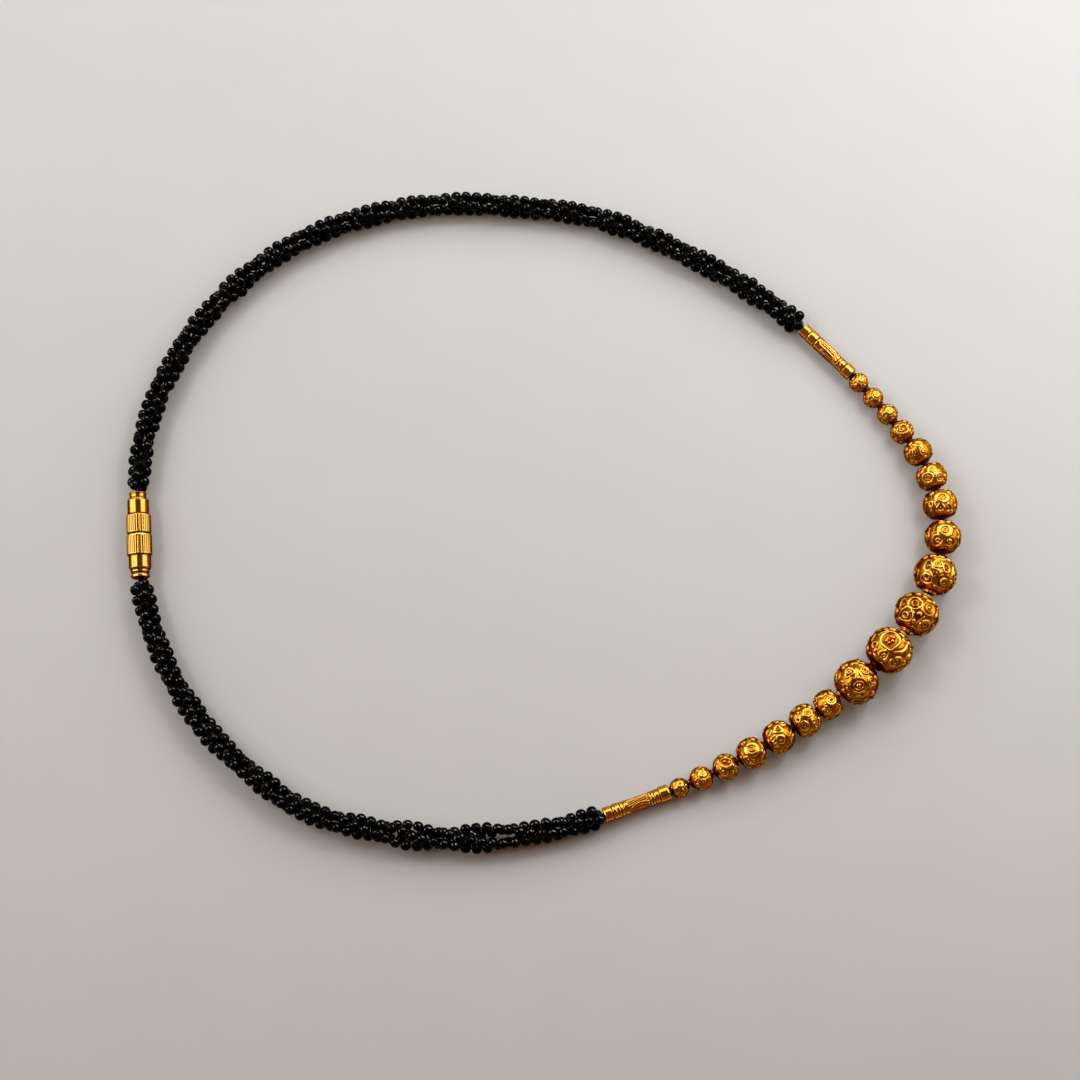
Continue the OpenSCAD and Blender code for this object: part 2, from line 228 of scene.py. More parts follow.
# ---------------------------------------------------------------------------
# Raised work on the round gold beads
# ---------------------------------------------------------------------------
# Each row is one motif on the side that faces the camera. Its place is given as
# seen by the camera, in bead radii from the middle: to the right, up. Then its
# two half sizes in bead radii and its turn in degrees.
# eye: rim, sunk ring and a small ring in the middle    boss: sunk cell with a dimpled dome
# thick: broad flat ring    ring: thin ring    drop: pointed ring    spiral: coiled ridge
# cell: sunk only    dot: granule    bar: straight ridge    arc: part of a ring
MOTIFS = [
    # bead 1
    [("thick", .30, .39, .31, .29, 0), ("eye", -.37, -.05, .27, .25, 0), ("bar", .02, .62, .2, .06, 80),
     ("bar", -.20, .42, .22, .06, 100), ("dot", .66, -.32, .2, .16, 20), ("bar", .3, -.3, .24, .06, -60),
     ("bar", 0, -.55, .22, .06, 80), ("dot", -.62, .45, .15, .15, 0), ("dot", -.75, -.3, .15, .15, 0),
     ("ring", .84, .2, .16, .16, 0), ("dot", .3, -.8, .16, .16, 0)],
    # bead 2
    [("thick", .34, .42, .36, .33, 0), ("eye", -.22, -.05, .25, .25, 0), ("dot", -.52, -.38, .15, .15, 0),
     ("dot", -.02, -.55, .17, .14, 0), ("dot", .64, -.37, .2, .17, 30), ("ring", -.8, .6, .15, .15, 0),
     ("dot", .9, .34, .13, .13, 0), ("dot", .36, .92, .12, .12, 0), ("dot", -.9, .1, .13, .13, 0),
     ("bar", -.35, .45, .2, .06, 60), ("ring", .2, -.85, .17, .17, 0), ("dot", -.5, -.75, .13, .13, 0)],
    # bead 3
    [("thick", .18, .41, .40, .35, 35), ("eye", -.25, -.08, .28, .25, 60), ("dot", -.19, -.8, .13, .13, 0),
     ("dot", -.72, -.28, .12, .12, 0), ("ring", .77, .42, .17, .12, 60), ("dot", .34, .9, .12, .12, 0),
     ("dot", .45, -.49, .22, .16, 30), ("ring", -.75, .4, .17, .15, 0), ("dot", -.4, .82, .12, .12, 0),
     ("dot", -.5, -.6, .12, .12, 0), ("ring", .85, -.2, .14, .14, 0)],
    # bead 4
    [("drop", .03, .23, .50, .38, 215), ("ring", -.03, .18, .17, .15, 0), ("dot", -.12, -.12, .08, .08, 0),
     ("dot", .08, -.14, .08, .08, 0), ("dot", -.13, -.34, .08, .08, 0), ("dot", -.49, -.6, .12, .12, 0),
     ("ring", -.77, .19, .13, .15, 0), ("ring", .76, .03, .12, .17, 0), ("dot", .53, .56, .12, .12, 0),
     ("dot", .2, .94, .11, .11, 0), ("ring", -.5, .68, .15, .12, 40), ("dot", -.88, -.25, .11, .11, 0),
     ("dot", -.05, -.85, .12, .12, 0), ("dot", .85, .42, .11, .11, 0)],
    # bead 5
    [("eye", .04, .62, .24, .21, 0), ("bar", .26, .30, .24, .08, 60), ("bar", .02, .25, .2, .08, -35),
     ("bar", .05, -.12, .26, .08, 95), ("cell", -.50, -.08, .15, .25, 10), ("bar", -.54, -.08, .2, .055, 100),
     ("bar", -.38, -.08, .2, .05, 100), ("cell", -.26, -.08, .09, .22, 5), ("boss", .38, .00, .24, .22, 0),
     ("dot", .49, -.38, .2, .14, 30), ("eye", -.27, -.68, .2, .16, 0), ("dot", -.84, .23, .11, .14, 0),
     ("bar", .62, .66, .13, .06, -45), ("bar", .93, -.1, .12, .06, 80), ("bar", -.69, -.5, .15, .055, -55),
     ("dot", -.55, .62, .12, .12, 0), ("arc", -.3, .35, .2, .2, 90)],
    # bead 6
    [("eye", .02, .55, .25, .22, 0), ("bar", .36, .34, .26, .09, 50), ("bar", .1, .2, .2, .08, -20),
     ("eye", -.25, -.08, .35, .32, 0), ("eye", .55, -.03, .28, .28, 0), ("bar", .14, -.16, .2, .07, 95),
     ("dot", -.88, .08, .1, .14, 0), ("bar", -.63, -.56, .15, .055, -55), ("dot", .9, .05, .1, .12, 0),
     ("dot", .8, -.38, .1, .12, 0), ("bar", .56, .75, .14, .06, -45), ("bar", .8, .5, .14, .06, -55),
     ("dot", -.5, .62, .12, .12, 0), ("ring", -.72, .42, .14, .14, 0), ("dot", .12, -.68, .2, .12, 0)],
    # bead 7
    [("thick", .12, .45, .42, .33, 0), ("drop", .05, -.17, .25, .2, 90), ("drop", .52, -.17, .25, .19, 90),
     ("bar", -.26, .02, .34, .075, 98), ("bar", .29, -.13, .22, .05, 90), ("ring", -.53, .03, .14, .17, 0),
     ("dot", -.50, -.36, .08, .08, 0), ("dot", -.84, .33, .09, .13, 0), ("bar", -.86, -.23, .14, .06, 100),
     ("bar", -.58, -.70, .14, .055, -50), ("bar", .80, .37, .15, .06, -70), ("ring", .93, -.18, .12, .14, 0),
     ("dot", .65, -.69, .12, .1, 40), ("dot", .12, -.62, .2, .1, 0), ("dot", -.5, .68, .11, .11, 0),
     ("dot", -.12, .94, .1, .1, 0), ("dot", .3, .93, .1, .1, 0)],
    # bead 8
    [("thick", .12, .43, .41, .40, 0), ("drop", -.31, -.20, .34, .27, 250), ("ring", -.29, -.18, .13, .12, 0),
     ("boss", .40, -.25, .31, .29, 20), ("bar", -.75, .37, .12, .06, 70), ("ring", -.86, .1, .1, .12, 0),
     ("bar", -.83, -.29, .13, .06, 105), ("bar", -.68, -.57, .13, .06, 115), ("bar", .83, .27, .15, .06, -55),
     ("ring", .92, -.18, .12, .17, 0), ("bar", .67, -.57, .12, .05, 50), ("eye", .46, -.82, .16, .13, 0),
     ("arc", -.42, .78, .2, .14, 60), ("bar", .06, -.1, .12, .05, 95), ("dot", -.1, .95, .1, .1, 0),
     ("dot", .3, .9, .1, .1, 0), ("dot", .04, -.62, .16, .1, 0), ("dot", -.12, -.68, .12, .08, 0)],
    # bead 9
    [("drop", -.33, .47, .27, .19, 75), ("eye", .15, .53, .21, .19, 0), ("drop", .53, .33, .23, .16, 110),
     ("bar", -.10, .30, .24, .06, -55), ("bar", .22, .18, .32, .06, -20), ("bar", -.26, .22, .2, .05, 10),
     ("bar", .16, .02, .18, .05, 35), ("drop", -.39, -.12, .30, .26, 75), ("ring", -.40, -.10, .14, .16, 0),
     ("cell", .41, -.34, .31, .30, 0), ("eye", .43, -.36, .18, .17, 0), ("bar", .02, -.32, .16, .05, 80),
     ("bar", .12, -.22, .14, .05, 70), ("bar", .82, .12, .26, .05, 75), ("ring", .94, -.03, .1, .12, 0),
     ("bar", -.78, .03, .16, .06, 85), ("arc", -.70, .50, .22, .2, 150), ("dot", -.78, -.44, .08, .08, 0),
     ("ring", .24, .82, .2, .1, 10), ("dot", -.1, .92, .12, .08, 0), ("dot", .62, .74, .12, .08, -40),
     ("dot", .9, -.4, .1, .1, 0), ("arc", .2, -.88, .22, .12, 270), ("dot", .0, -.55, .09, .07, 0),
     ("dot", -.45, .84, .1, .08, 30)],
    # bead 10
    [("eye", -.07, .52, .32, .30, 0), ("cell", .58, .24, .30, .28, 0), ("boss", .60, .27, .19, .19, 0),
     ("drop", -.52, -.02, .37, .30, 200), ("ring", -.52, -.03, .15, .14, 0), ("bar", .24, .20, .22, .06, -50),
     ("bar", -.12, .16, .22, .055, 15), ("bar", .22, .10, .15, .05, 80), ("cell", .13, -.17, .30, .27, -20),
     ("arc", .09, -.10, .13, .1, 60), ("bar", .22, -.26, .18, .045, 35), ("eye", .36, -.52, .24, .21, 0),
     ("drop", -.60, .52, .24, .15, 80), ("bar", .88, -.04, .15, .055, 60), ("bar", .93, -.22, .12, .05, 65),
     ("dot", -.13, -.34, .08, .11, 0), ("dot", -.35, .9, .12, .09, 20), ("dot", .1, .94, .11, .08, 0),
     ("dot", .8, .55, .12, .08, -50), ("dot", -.92, .15, .1, .12, 0), ("ring", .5, -.82, .18, .1, 20),
     ("dot", .12, -.72, .1, .08, 0), ("dot", .72, -.6, .1, .1, 0)],
    # bead 11
    [("shield", .04, .45, .43, .45, 0), ("arc", .30, .42, .52, .5, 0), ("dot", -.06, .52, .09, .09, 0),
     ("dot", .08, .60, .08, .08, 0), ("dot", .14, .42, .09, .09, 0), ("dot", -.02, .34, .08, .08, 0),
     ("dot", -.14, .42, .07, .07, 0), ("dot", .20, .56, .07, .07, 0), ("drop", -.22, -.19, .23, .18, 40),
     ("ring", -.24, -.22, .08, .08, 0), ("dot", -.38, -.05, .07, .07, 0), ("bar", .30, -.13, .22, .06, 8),
     ("eye", .28, -.53, .27, .21, 10), ("ring", -.63, .24, .15, .14, 30), ("dot", -.62, .0, .07, .09, 0),
     ("ring", .83, -.02, .13, .22, -15), ("ring", .70, .42, .1, .1, 0), ("dot", .86, .3, .08, .1, 0),
     ("dot", -.85, -.18, .08, .09, 0), ("dot", -.5, -.46, .08, .07, 0), ("dot", -.32, -.58, .08, .07, 0),
     ("dot", -.22, -.70, .07, .07, 0), ("bar", -.56, -.3, .2, .045, -40), ("dot", -.08, .95, .12, .08, 0),
     ("dot", .18, .93, .11, .08, 0), ("bar", -.66, .58, .15, .055, 55), ("dot", -.95, .1, .08, .12, 0),
     ("arc", .1, -.9, .2, .1, 270), ("dot", .62, -.55, .08, .1, 0), ("dot", .86, -.28, .08, .08, 0)],
    # bead 12
    [("bar", -.17, .37, .34, .055, 62), ("bar", .18, .38, .36, .055, -55), ("bar", .02, .38, .3, .045, 93),
     ("bar", -.26, .08, .14, .05, 50), ("drop", -.34, .43, .24, .20, 235), ("ring", -.34, .46, .1, .09, 0),
     ("eye", .40, .54, .19, .17, 0), ("cell", .11, -.18, .37, .33, 0), ("boss", .12, -.18, .24, .2, 15),
     ("eye", .70, .02, .2, .2, 0), ("bar", .78, -.18, .13, .045, 65), ("ring", .25, -.55, .21, .1, 15),
     ("ring", .07, -.86, .2, .1, 0), ("dot", -.08, .85, .14, .07, 0), ("ring", .26, .82, .13, .09, 20),
     ("dot", -.53, .73, .13, .08, 30), ("ring", -.84, .26, .1, .16, -15), ("arc", -.68, -.12, .14, .1, 90),
     ("arc", -.5, -.2, .1, .1, 200), ("dot", -.6, -.41, .12, .1, 0), ("dot", -.42, -.30, .07, .07, 0),
     ("dot", -.33, -.62, .09, .08, 0), ("dot", .65, .44, .07, .07, 0), ("bar", -.33, -.38, .24, .045, -60),
     ("dot", .9, .22, .08, .1, 0), ("dot", .72, -.52, .1, .08, 0)],
    # bead 13
    [("spiral", .19, .32, .36, .33, 0), ("dot", -.22, .0, .14, .09, 60), ("dot", -.14, -.14, .1, .08, 0),
     ("ring", -.11, -.44, .26, .17, 10), ("dot", -.19, -.43, .07, .07, 0), ("dot", -.02, -.45, .07, .07, 0),
     ("dot", .39, -.79, .09, .08, 0), ("dot", .78, -.04, .09, .1, 0), ("bar", .55, -.23, .12, .05, 70),
     ("bar", .34, -.24, .12, .05, 0), ("dot", -.2, .71, .13, .1, 30), ("ring", .32, .82, .18, .1, 0),
     ("arc", -.55, .3, .3, .3, 120), ("dot", .75, .45, .12, .1, -40), ("dot", -.05, -.86, .1, .08, 0)],
    # bead 14
    [("eye", .17, .52, .28, .26, 20), ("band", -.20, -.15, .5, .24, -42), ("ring", -.42, .02, .16, .15, 0),
     ("eye", -.06, -.33, .26, .24, 0), ("bar", .48, .26, .2, .09, 55), ("ring", .53, -.05, .14, .12, 0),
     ("bar", .56, -.17, .1, .04, 50), ("ring", .19, -.78, .13, .09, 30), ("dot", .67, -.45, .1, .09, 0),
     ("dot", -.44, .47, .08, .08, 0), ("dot", -.66, .67, .12, .09, 40), ("dot", -.05, .92, .12, .08, 0),
     ("dot", .62, .68, .13, .09, -40), ("dot", -.86, .25, .1, .1, 0), ("dot", .9, .1, .09, .11, 0)],
    # bead 15
    [("drop", -.02, .48, .27, .23, -25), ("bar", .28, .32, .3, .05, -40), ("bar", .38, .42, .26, .05, -42),
     ("square", .1, -.14, .20, .20, 0), ("arc", -.36, -.12, .16, .14, 250), ("dot", -.30, .05, .07, .1, 0),
     ("ring", -.16, -.48, .13, .11, 0), ("eye", -.64, .26, .19, .19, 0), ("arc", .60, -.33, .17, .17, 330),
     ("ring", -.07, -.84, .18, .08, 0), ("dot", -.55, .73, .13, .09, 30), ("dot", -.16, .93, .12, .08, 0),
     ("ring", .24, .84, .14, .09, 0), ("bar", .74, .36, .2, .05, 75), ("bar", .86, .2, .16, .045, 80),
     ("dot", .38, -.74, .09, .08, 0), ("dot", -.62, -.35, .2, .12, -50)],
    # bead 16
    [("thick", .00, .28, .47, .45, 0), ("drop", -.22, -.44, .30, .22, 160), ("dot", .13, -.47, .07, .1, 0),
     ("ring", .76, .1, .12, .13, 0), ("bar", .68, .5, .2, .055, -45), ("bar", -.80, .1, .17, .07, 40),
     ("dot", -.56, .66, .13, .1, 30), ("dot", -.18, -.86, .13, .08, 0), ("bar", .58, -.39, .16, .05, 50),
     ("dot", .07, .93, .12, .09, 0), ("bar", .35, -.42, .1, .05, 0), ("dot", .5, .8, .1, .08, -30),
     ("dot", .42, -.78, .1, .08, 0), ("dot", -.68, -.42, .2, .12, -50)],
    # bead 17
    [("cell", .02, .38, .46, .34, 0), ("arc", .02, .42, .46, .38, 270), ("dot", -.10, .44, .13, .10, 0),
     ("dot", .26, .40, .09, .12, 0), ("drop", -.18, -.34, .28, .22, 130), ("ring", -.16, -.37, .1, .1, 0),
     ("dot", .54, -.41, .1, .14, -30), ("ring", .68, .10, .12, .12, 0), ("dot", -.09, -.92, .12, .08, 0),
     ("ring", -.88, .42, .1, .12, 0), ("dot", -.38, .84, .12, .09, 0), ("dot", .13, .93, .12, .09, 0),
     ("dot", .74, .55, .12, .1, -40), ("bar", -.62, -.1, .24, .06, -60), ("dot", .3, -.78, .09, .08, 0)],
    # bead 18
    [("thick", .09, .46, .36, .34, 0), ("drop", -.32, -.21, .28, .18, 70), ("ring", .18, -.18, .14, .13, 0),
     ("arc", .66, -.08, .2, .22, 0), ("ring", -.78, .43, .13, .15, 0), ("dot", -.7, .72, .12, .09, 30),
     ("dot", -.12, .94, .13, .09, 0), ("dot", .09, -.84, .14, .1, 0), ("dot", -.3, -.62, .12, .09, 0),
     ("dot", .5, -.55, .1, .1, 0), ("dot", -.62, .1, .1, .1, 0), ("dot", .8, .35, .1, .1, 0)],
    # bead 19
    [("square", .06, .46, .30, .28, 10), ("eye", -.29, -.27, .27, .26, 0), ("dot", .36, -.17, .13, .13, 0),
     ("dot", .5, -.64, .13, .13, 0), ("dot", .06, -.95, .13, .1, 0), ("dot", -.04, .95, .13, .1, 0),
     ("ring", -.63, .52, .14, .13, 0), ("dot", .22, -.45, .1, .1, 0), ("dot", .74, .3, .12, .12, 0),
     ("dot", -.85, .0, .12, .12, 0)],
]
# the sides that the camera doesn't see carry the same kinds of motif
FILL = ["eye", "drop", "eye", "thick", "spiral", "boss", "eye", "drop", "dots"]


def fade(x, w):
    """1 on a line, 0 beyond w from it, rounded over the top."""
    return np.clip(1 - (x / w) ** 2, 0, 1)


def oval(x, y, a, b):
    q = np.hypot(x / a, y / b)
    g = np.hypot(x / a ** 2, y / b ** 2) / np.maximum(q, 1e-6)
    return q, (q - 1) / np.maximum(g, 1e-6)


def pointed(x, y, a, b):
    """An oval that narrows towards +x."""
    k = 1 - 0.42 * np.clip(x / a, -1.4, 1.2)
    q = np.hypot(x / a, y / (b * k))
    g = np.hypot(x / a ** 2, y / (b * k) ** 2) / np.maximum(q, 1e-6)
    return q, (q - 1) / np.maximum(g, 1e-6)


def shield(x, y, a, b):
    """Broad at the top and pointed below."""
    k = 1 - 0.45 * smooth((-y / b + 0.1) / 1.1)
    q = np.hypot(x / (a * k), y / b)
    g = np.hypot(x / (a * k) ** 2, y / b ** 2) / np.maximum(q, 1e-6)
    return q, (q - 1) / np.maximum(g, 1e-6)


def square(x, y, a, b):
    q = ((x / a) ** 4 + (y / b) ** 4) ** 0.25
    return q, (q - 1) * min(a, b)


class Relief:
    """Heights over a sphere of radius 1, from the floor of the cells to the top of the rings."""

    WEB, DISH, LOW, TOP = -0.030, 0.072, -0.058, 0.012

    def __init__(self, n, ridge):
        self.n = n
        self.h = np.full(n.shape[:-1], self.WEB)
        self.w = ridge

    def place(self, c, right, turn):
        ex = right - right.dot(c) * c
        ex = ex / np.linalg.norm(ex)
        ey = np.cross(c, ex)
        t = math.radians(turn)
        fx, fy = ex * math.cos(t) + ey * math.sin(t), ey * math.cos(t) - ex * math.sin(t)
        dot = self.n @ c
        near = dot > 0.35
        ang = np.arccos(np.clip(dot[near], -1, 1))
        px, py = self.n[near] @ fx, self.n[near] @ fy
        r = np.maximum(np.hypot(px, py), 1e-9)
        return near, ang * px / r, ang * py / r

    def sink(self, near, amount, floor):
        h = self.h[near]
        self.h[near] = np.minimum(h, h + (floor - h) * amount)

    def dish(self, near, q, depth):
        self.sink(near, (q < 1) * 1.0, self.WEB - depth * np.clip(1 - q ** 2, 0, 1) ** 0.65)

    def raise_to(self, near, amount, top):
        h = self.h[near]
        self.h[near] = np.maximum(h, h + (top - h) * amount)

    def add(self, kind, c, right, a, b, turn, rng=None, tall=1.0):
        """tall is 0 for work that hardly stands out, 1 for full height."""
        near, x, y = self.place(c, right, turn)
        w, top, web = self.w, self.TOP, self.WEB
        if kind == "dots":
            for _ in range(5):
                u, v = rng.uniform(-0.16, 0.16, 2)
                self.raise_to(near, fade(np.hypot(x - u, y - v), 0.09), -0.004)
            return
        shape = {"drop": pointed, "shield": shield, "square": square}.get(kind, oval)
        q, d = shape(x, y, a, b)
        small = min(a, b)
        if kind == "cell":
            self.dish(near, q, self.DISH)
            self.raise_to(near, fade(d, w * 0.8), -0.014)
        elif kind == "ring":
            self.dish(near, q, 0.05)
            self.raise_to(near, fade(d + w * 0.3, w * 0.95), top)
        elif kind == "thick":
            self.sink(near, fade(q - 1.26, 0.3), self.LOW)
            self.dish(near, q / 0.66, 0.034)
            self.raise_to(near, smooth((q - 0.48) / 0.12) * smooth((1.12 - q) / 0.12), top)
            r = np.hypot(x, y)
            m = 0.3 * small
            self.raise_to(near, fade(r - m, w * 0.8), -0.018)
            self.raise_to(near, fade(r, m * 0.45), -0.03)
        elif kind == "eye":
            self.dish(near, q, self.DISH)
            self.raise_to(near, fade(d + w * 0.25, w), top)
            r, e = oval(x, y, a * 0.43, b * 0.43)
            self.raise_to(near, fade(e, w * 0.7), -0.012)
            self.raise_to(near, fade(np.hypot(x, y), w * 0.7) * (small > 0.2), -0.03)
        elif kind == "boss":
            self.dish(near, q, self.DISH)
            self.raise_to(near, fade(d + w * 0.4, w * 0.8), -0.008)
            r, e = oval(x, y, a * 0.6, b * 0.6)
            self.raise_to(near, np.sqrt(np.clip(1 - r ** 2, 0, 1)), top)
            self.sink(near, fade(np.hypot(x - 0.12 * a, y + 0.14 * b), 0.24 * small), -0.06)
        elif kind in ("drop", "shield"):
            self.dish(near, q, self.DISH)
            self.raise_to(near, fade(d + w * 0.25, w * (1.3 if kind == "shield" else 1.05)), top)
            if kind == "drop":
                r, e = pointed(x + 0.1 * a, y, a * 0.42, b * 0.42)
                self.raise_to(near, np.clip(1 - r ** 2, 0, 1) ** 0.6, -0.014)
        elif kind == "square":
            self.dish(near, q, self.DISH)
            self.raise_to(near, fade(d + w * 0.25, w), top)
            r, e = square(x, y, a * 0.42, b * 0.42)
            self.raise_to(near, fade(e, w * 0.7), -0.016)
        elif kind == "spiral":
            self.dish(near, q, self.DISH * 0.8)
            xx, yy = x / a, y / b
            r = np.hypot(xx, yy)
            f = np.mod(np.arctan2(yy, xx) - 0.6, 2 * np.pi) / (2 * np.pi)
            best = np.full(r.shape, 9.0)
            for lap in (0, 1):
                best = np.minimum(best, np.abs(r - (0.16 + 0.4 * (f + lap))))
            self.raise_to(near, fade(best * small, w * 0.9), top)
        elif kind == "dot":
            self.sink(near, fade(q - 1.2, 0.35) * 0.6, self.LOW)
            self.raise_to(near, np.sqrt(np.clip(1 - (x / a) ** 2 - (y / b) ** 2, 0, 1)), top + 0.008 + 0.012 * (tall - 1))
        elif kind == "bar":
            xx = np.clip(x, -a, a)
            w2 = b * (1.6 - 0.6 * tall) * (1 - 0.4 * (np.abs(xx) / a) ** 2)
            self.sink(near, fade(np.hypot(x - xx, y), w2 * 2.2) * 0.5 * tall, self.LOW)
            self.raise_to(near, fade(np.hypot(x - xx, y), w2), web + 0.012 + (top - web - 0.008) * tall)
        elif kind == "band":
            xx = np.clip(x, -a, a)
            e = np.hypot(x - xx, y)
            self.raise_to(near, smooth((b - e) / 0.08), -0.014)
        elif kind == "arc":
            ang = np.arctan2(y, x)
            keep = smooth((1.35 - np.abs(ang)) / 0.35)
            self.sink(near, fade(d, w * 2.2) * keep * 0.6, self.LOW)
            self.raise_to(near, fade(d, w) * keep, top)


# beads whose collar towards the next bead, or the one before, has a painted highlight instead of painted shade
BRIGHT_NEXT, BRIGHT_LAST = (8, 9, 11), (9, 10)
# painted shade and painted reflection: the gold keeps its bright colour on the upper side of the beads, and is painted
# dull and red on the flanks below it
PAINTED_LIGHT_SIDE = unit(np.array([0.10, 0.02, 1.0]))


def bead_shell(i):
    dia, length, collar, _ = BEADS[i]
    R = dia / 2
    hole = (1.2 if dia < 6 else 1.4) / 2
    neck = hole + (0.3 if dia < 8 else 0.5)
    h_end = length / 2 - collar
    shoulder = math.acos((h_end - END_FALL) / R)
    pitch = 0.104
    # profile from one end face, over the belt, to the other: along the thread, and away from it
    arc = [(R * math.cos(t), R * math.sin(t)) for t in np.linspace(shoulder, math.pi - shoulder, 80)]
    line = np.array([(h_end, neck - 0.08)] + arc + [(-h_end, neck - 0.08)])
    d = travel(line)
    n_body = max(24, int(d[-1] / pitch))
    body = at(np.linspace(0, d[-1], n_body), line, d)
    for _ in range(5):
        body[1:-1] = (body[:-2] + 2 * body[1:-1] + body[2:]) / 4
    # the collar is two rings, one on the other
    c = collar + 0.05
    ring = []
    for base, wide in ((0, 0.26 if dia > 8 else 0.0), (0.5, 0.0 if dia > 8 else -0.07)):
        for k in range(1, 6):
            t = math.pi * k / 6
            ring.append((h_end - 0.05 + c * (base + 0.25 * (1 - math.cos(t))),
                         neck + wide - 0.07 + 0.13 * math.sin(t) * min(1, collar / 0.3)))
    ring = np.array(ring)
    ring[:, 0] = np.minimum(ring[:, 0], length / 2)
    bore = np.array([(length / 2 - 0.04, hole + 0.04), (length / 2 - 0.2, hole), (0, hole),
                     (-length / 2 + 0.2, hole), (-length / 2 + 0.04, hole + 0.04)])
    prof = np.vstack([ring[::-1], body, ring * [-1, 1], bore[::-1]])
    n_ring = len(ring)
    part = np.array([0] * n_ring + [1] * n_body + [0] * n_ring + [2] * len(bore))

    axis = bead_axis(i)
    up = unit(np.array([0, 0, 1]) - axis[2] * axis)
    side = np.cross(up, axis)
    # closer points on the side that faces up
    m = max(64, int(2 * math.pi * R / 0.128))
    t = np.linspace(0, 2 * math.pi, m, endpoint=False)
    phi = t - 0.36 * np.sin(t)
    out = np.cos(phi)[:, None] * up + np.sin(phi)[:, None] * side
    pts = prof[:, None, 0, None] * axis + prof[:, None, 1, None] * out[None]
    centre = bead_at(i)

    b0 = n_ring
    grid = pts[b0:b0 + n_body]
    n = grid / np.linalg.norm(grid, axis=-1, keepdims=True)
    to_eye = unit(CAMERA - centre)
    right = unit(np.array([1, 0, 0]) - to_eye[0] * to_eye)
    upv = np.cross(to_eye, right)
    work = Relief(n, float(np.clip(0.33 / R, 0.074, 0.118)))
    rng = np.random.default_rng(100 + i)
    order = {"cell": 0, "band": 0, "thick": 1, "shield": 1, "eye": 2, "boss": 2, "drop": 2, "spiral": 2, "square": 2}
    rows = []
    for kind, u, v, a, b, turn in MOTIFS[i]:
        rr = u * u + v * v
        if rr > 0.95:
            u, v = u * math.sqrt(0.95 / rr), v * math.sqrt(0.95 / rr)
            rr = 0.95
        cdir = u * right + v * upv + math.sqrt(1 - rr) * to_eye
        k = 1.1 * (1 + 0.5 * float(smooth((rr - 0.4) / 0.5)))
        quiet = kind == "bar" and rr < 0.4 and dia > 5.5
        rows.append((order.get(kind, 3), kind, cdir, a * k, b * k, turn, 0.12 if quiet else 1 + 1.2 * float(smooth((rr - 0.45) / 0.4))))
    golden = math.pi * (3 - math.sqrt(5))
    spin = rng.uniform(0, 6.28)
    for k in range(38):
        z = 1 - 2 * (k + 0.5) / 38
        r = math.sqrt(1 - z * z)
        cdir = unit(axis * z + r * (math.cos(golden * k + spin) * side + math.sin(golden * k + spin) * up) + rng.normal(0, 0.04, 3))
        if abs(cdir @ axis) > 0.78 or cdir @ to_eye > 0.25:
            continue
        if any(math.acos(max(-1, min(1, float(cdir @ q[2])))) < 0.27 + 0.7 * max(q[3], q[4]) for q in rows):
            continue
        s = rng.uniform(0.2, 0.27)
        kind = FILL[int(rng.integers(len(FILL)))]
        rows.append((order.get(kind, 3), kind, cdir, s, s * rng.uniform(0.8, 1), float(rng.uniform(0, 360)), 2))
    # small work in the free places between
    for k in range(150):
        z = 1 - 2 * (k + 0.5) / 150
        r = math.sqrt(1 - z * z)
        cdir = unit(axis * z + r * (math.cos(golden * k + 2 * spin) * side + math.sin(golden * k + 2 * spin) * up) + rng.normal(0, 0.03, 3))
        far = cdir @ to_eye < 0.6
        s = rng.uniform(0.12, 0.17) if far else rng.uniform(0.075, 0.1)
        if abs(cdir @ axis) > 0.8 or cdir @ to_eye < -0.3 or (dia < 8 and not far):
            continue
        if any(math.acos(max(-1, min(1, float(cdir @ q[2])))) < (0.0 if far else 0.06) + s + (0.7 if far else 0.95) * max(q[3], q[4]) for q in rows):
            continue
        kind = ("dot", "ring", "bar", "dot", "ring")[int(rng.integers(5))]
        rows.append((order.get(kind, 3), kind, cdir, s * (1.5 if kind == "bar" else 1), s * (0.5 if kind == "bar" else 0.85), float(rng.uniform(0, 360)), 2))
    for _, kind, cdir, a, b, turn, tall in sorted(rows, key=lambda q: q[0]):
        ref = right if abs(cdir @ right) < 0.97 else upv
        work.add(kind, cdir, ref, a, b, turn, rng, tall)
    h = work.h
    # plain ends
    lat = np.abs(grid @ axis) / h_end
    plain = smooth((lat - 0.84) / 0.1)
    h = h * (1 - plain) + (-0.02) * plain
    edge = np.minimum(np.arange(n_body), n_body - 1 - np.arange(n_body))[:, None]
    h = h * smooth(edge / 4)
    # small dents and handling marks
    for _ in range(14):
        cdir = unit(rng.normal(0, 1, 3))
        e = np.arccos(np.clip(n @ cdir, -1, 1))
        h = h - 0.006 * rng.uniform(0.3, 1) * np.exp(-(e / rng.uniform(0.12, 0.3)) ** 2) * smooth(edge / 6)
    soft = blur_grid(h, 12)
    # darkening in the hollows and at the feet of the raised work: dirt, and painted shade
    near_low = np.clip((soft - h) / 0.028, 0, 1)
    deep = np.clip((work.WEB - 0.01 - h) / 0.05, 0, 1)
    pts[b0:b0 + n_body] = grid + n * (h * R)[..., None]
    cav = np.zeros(pts.shape[:2])
    cav[b0:b0 + n_body] = np.clip(0.42 * near_low + 0.70 * deep, 0, 1)
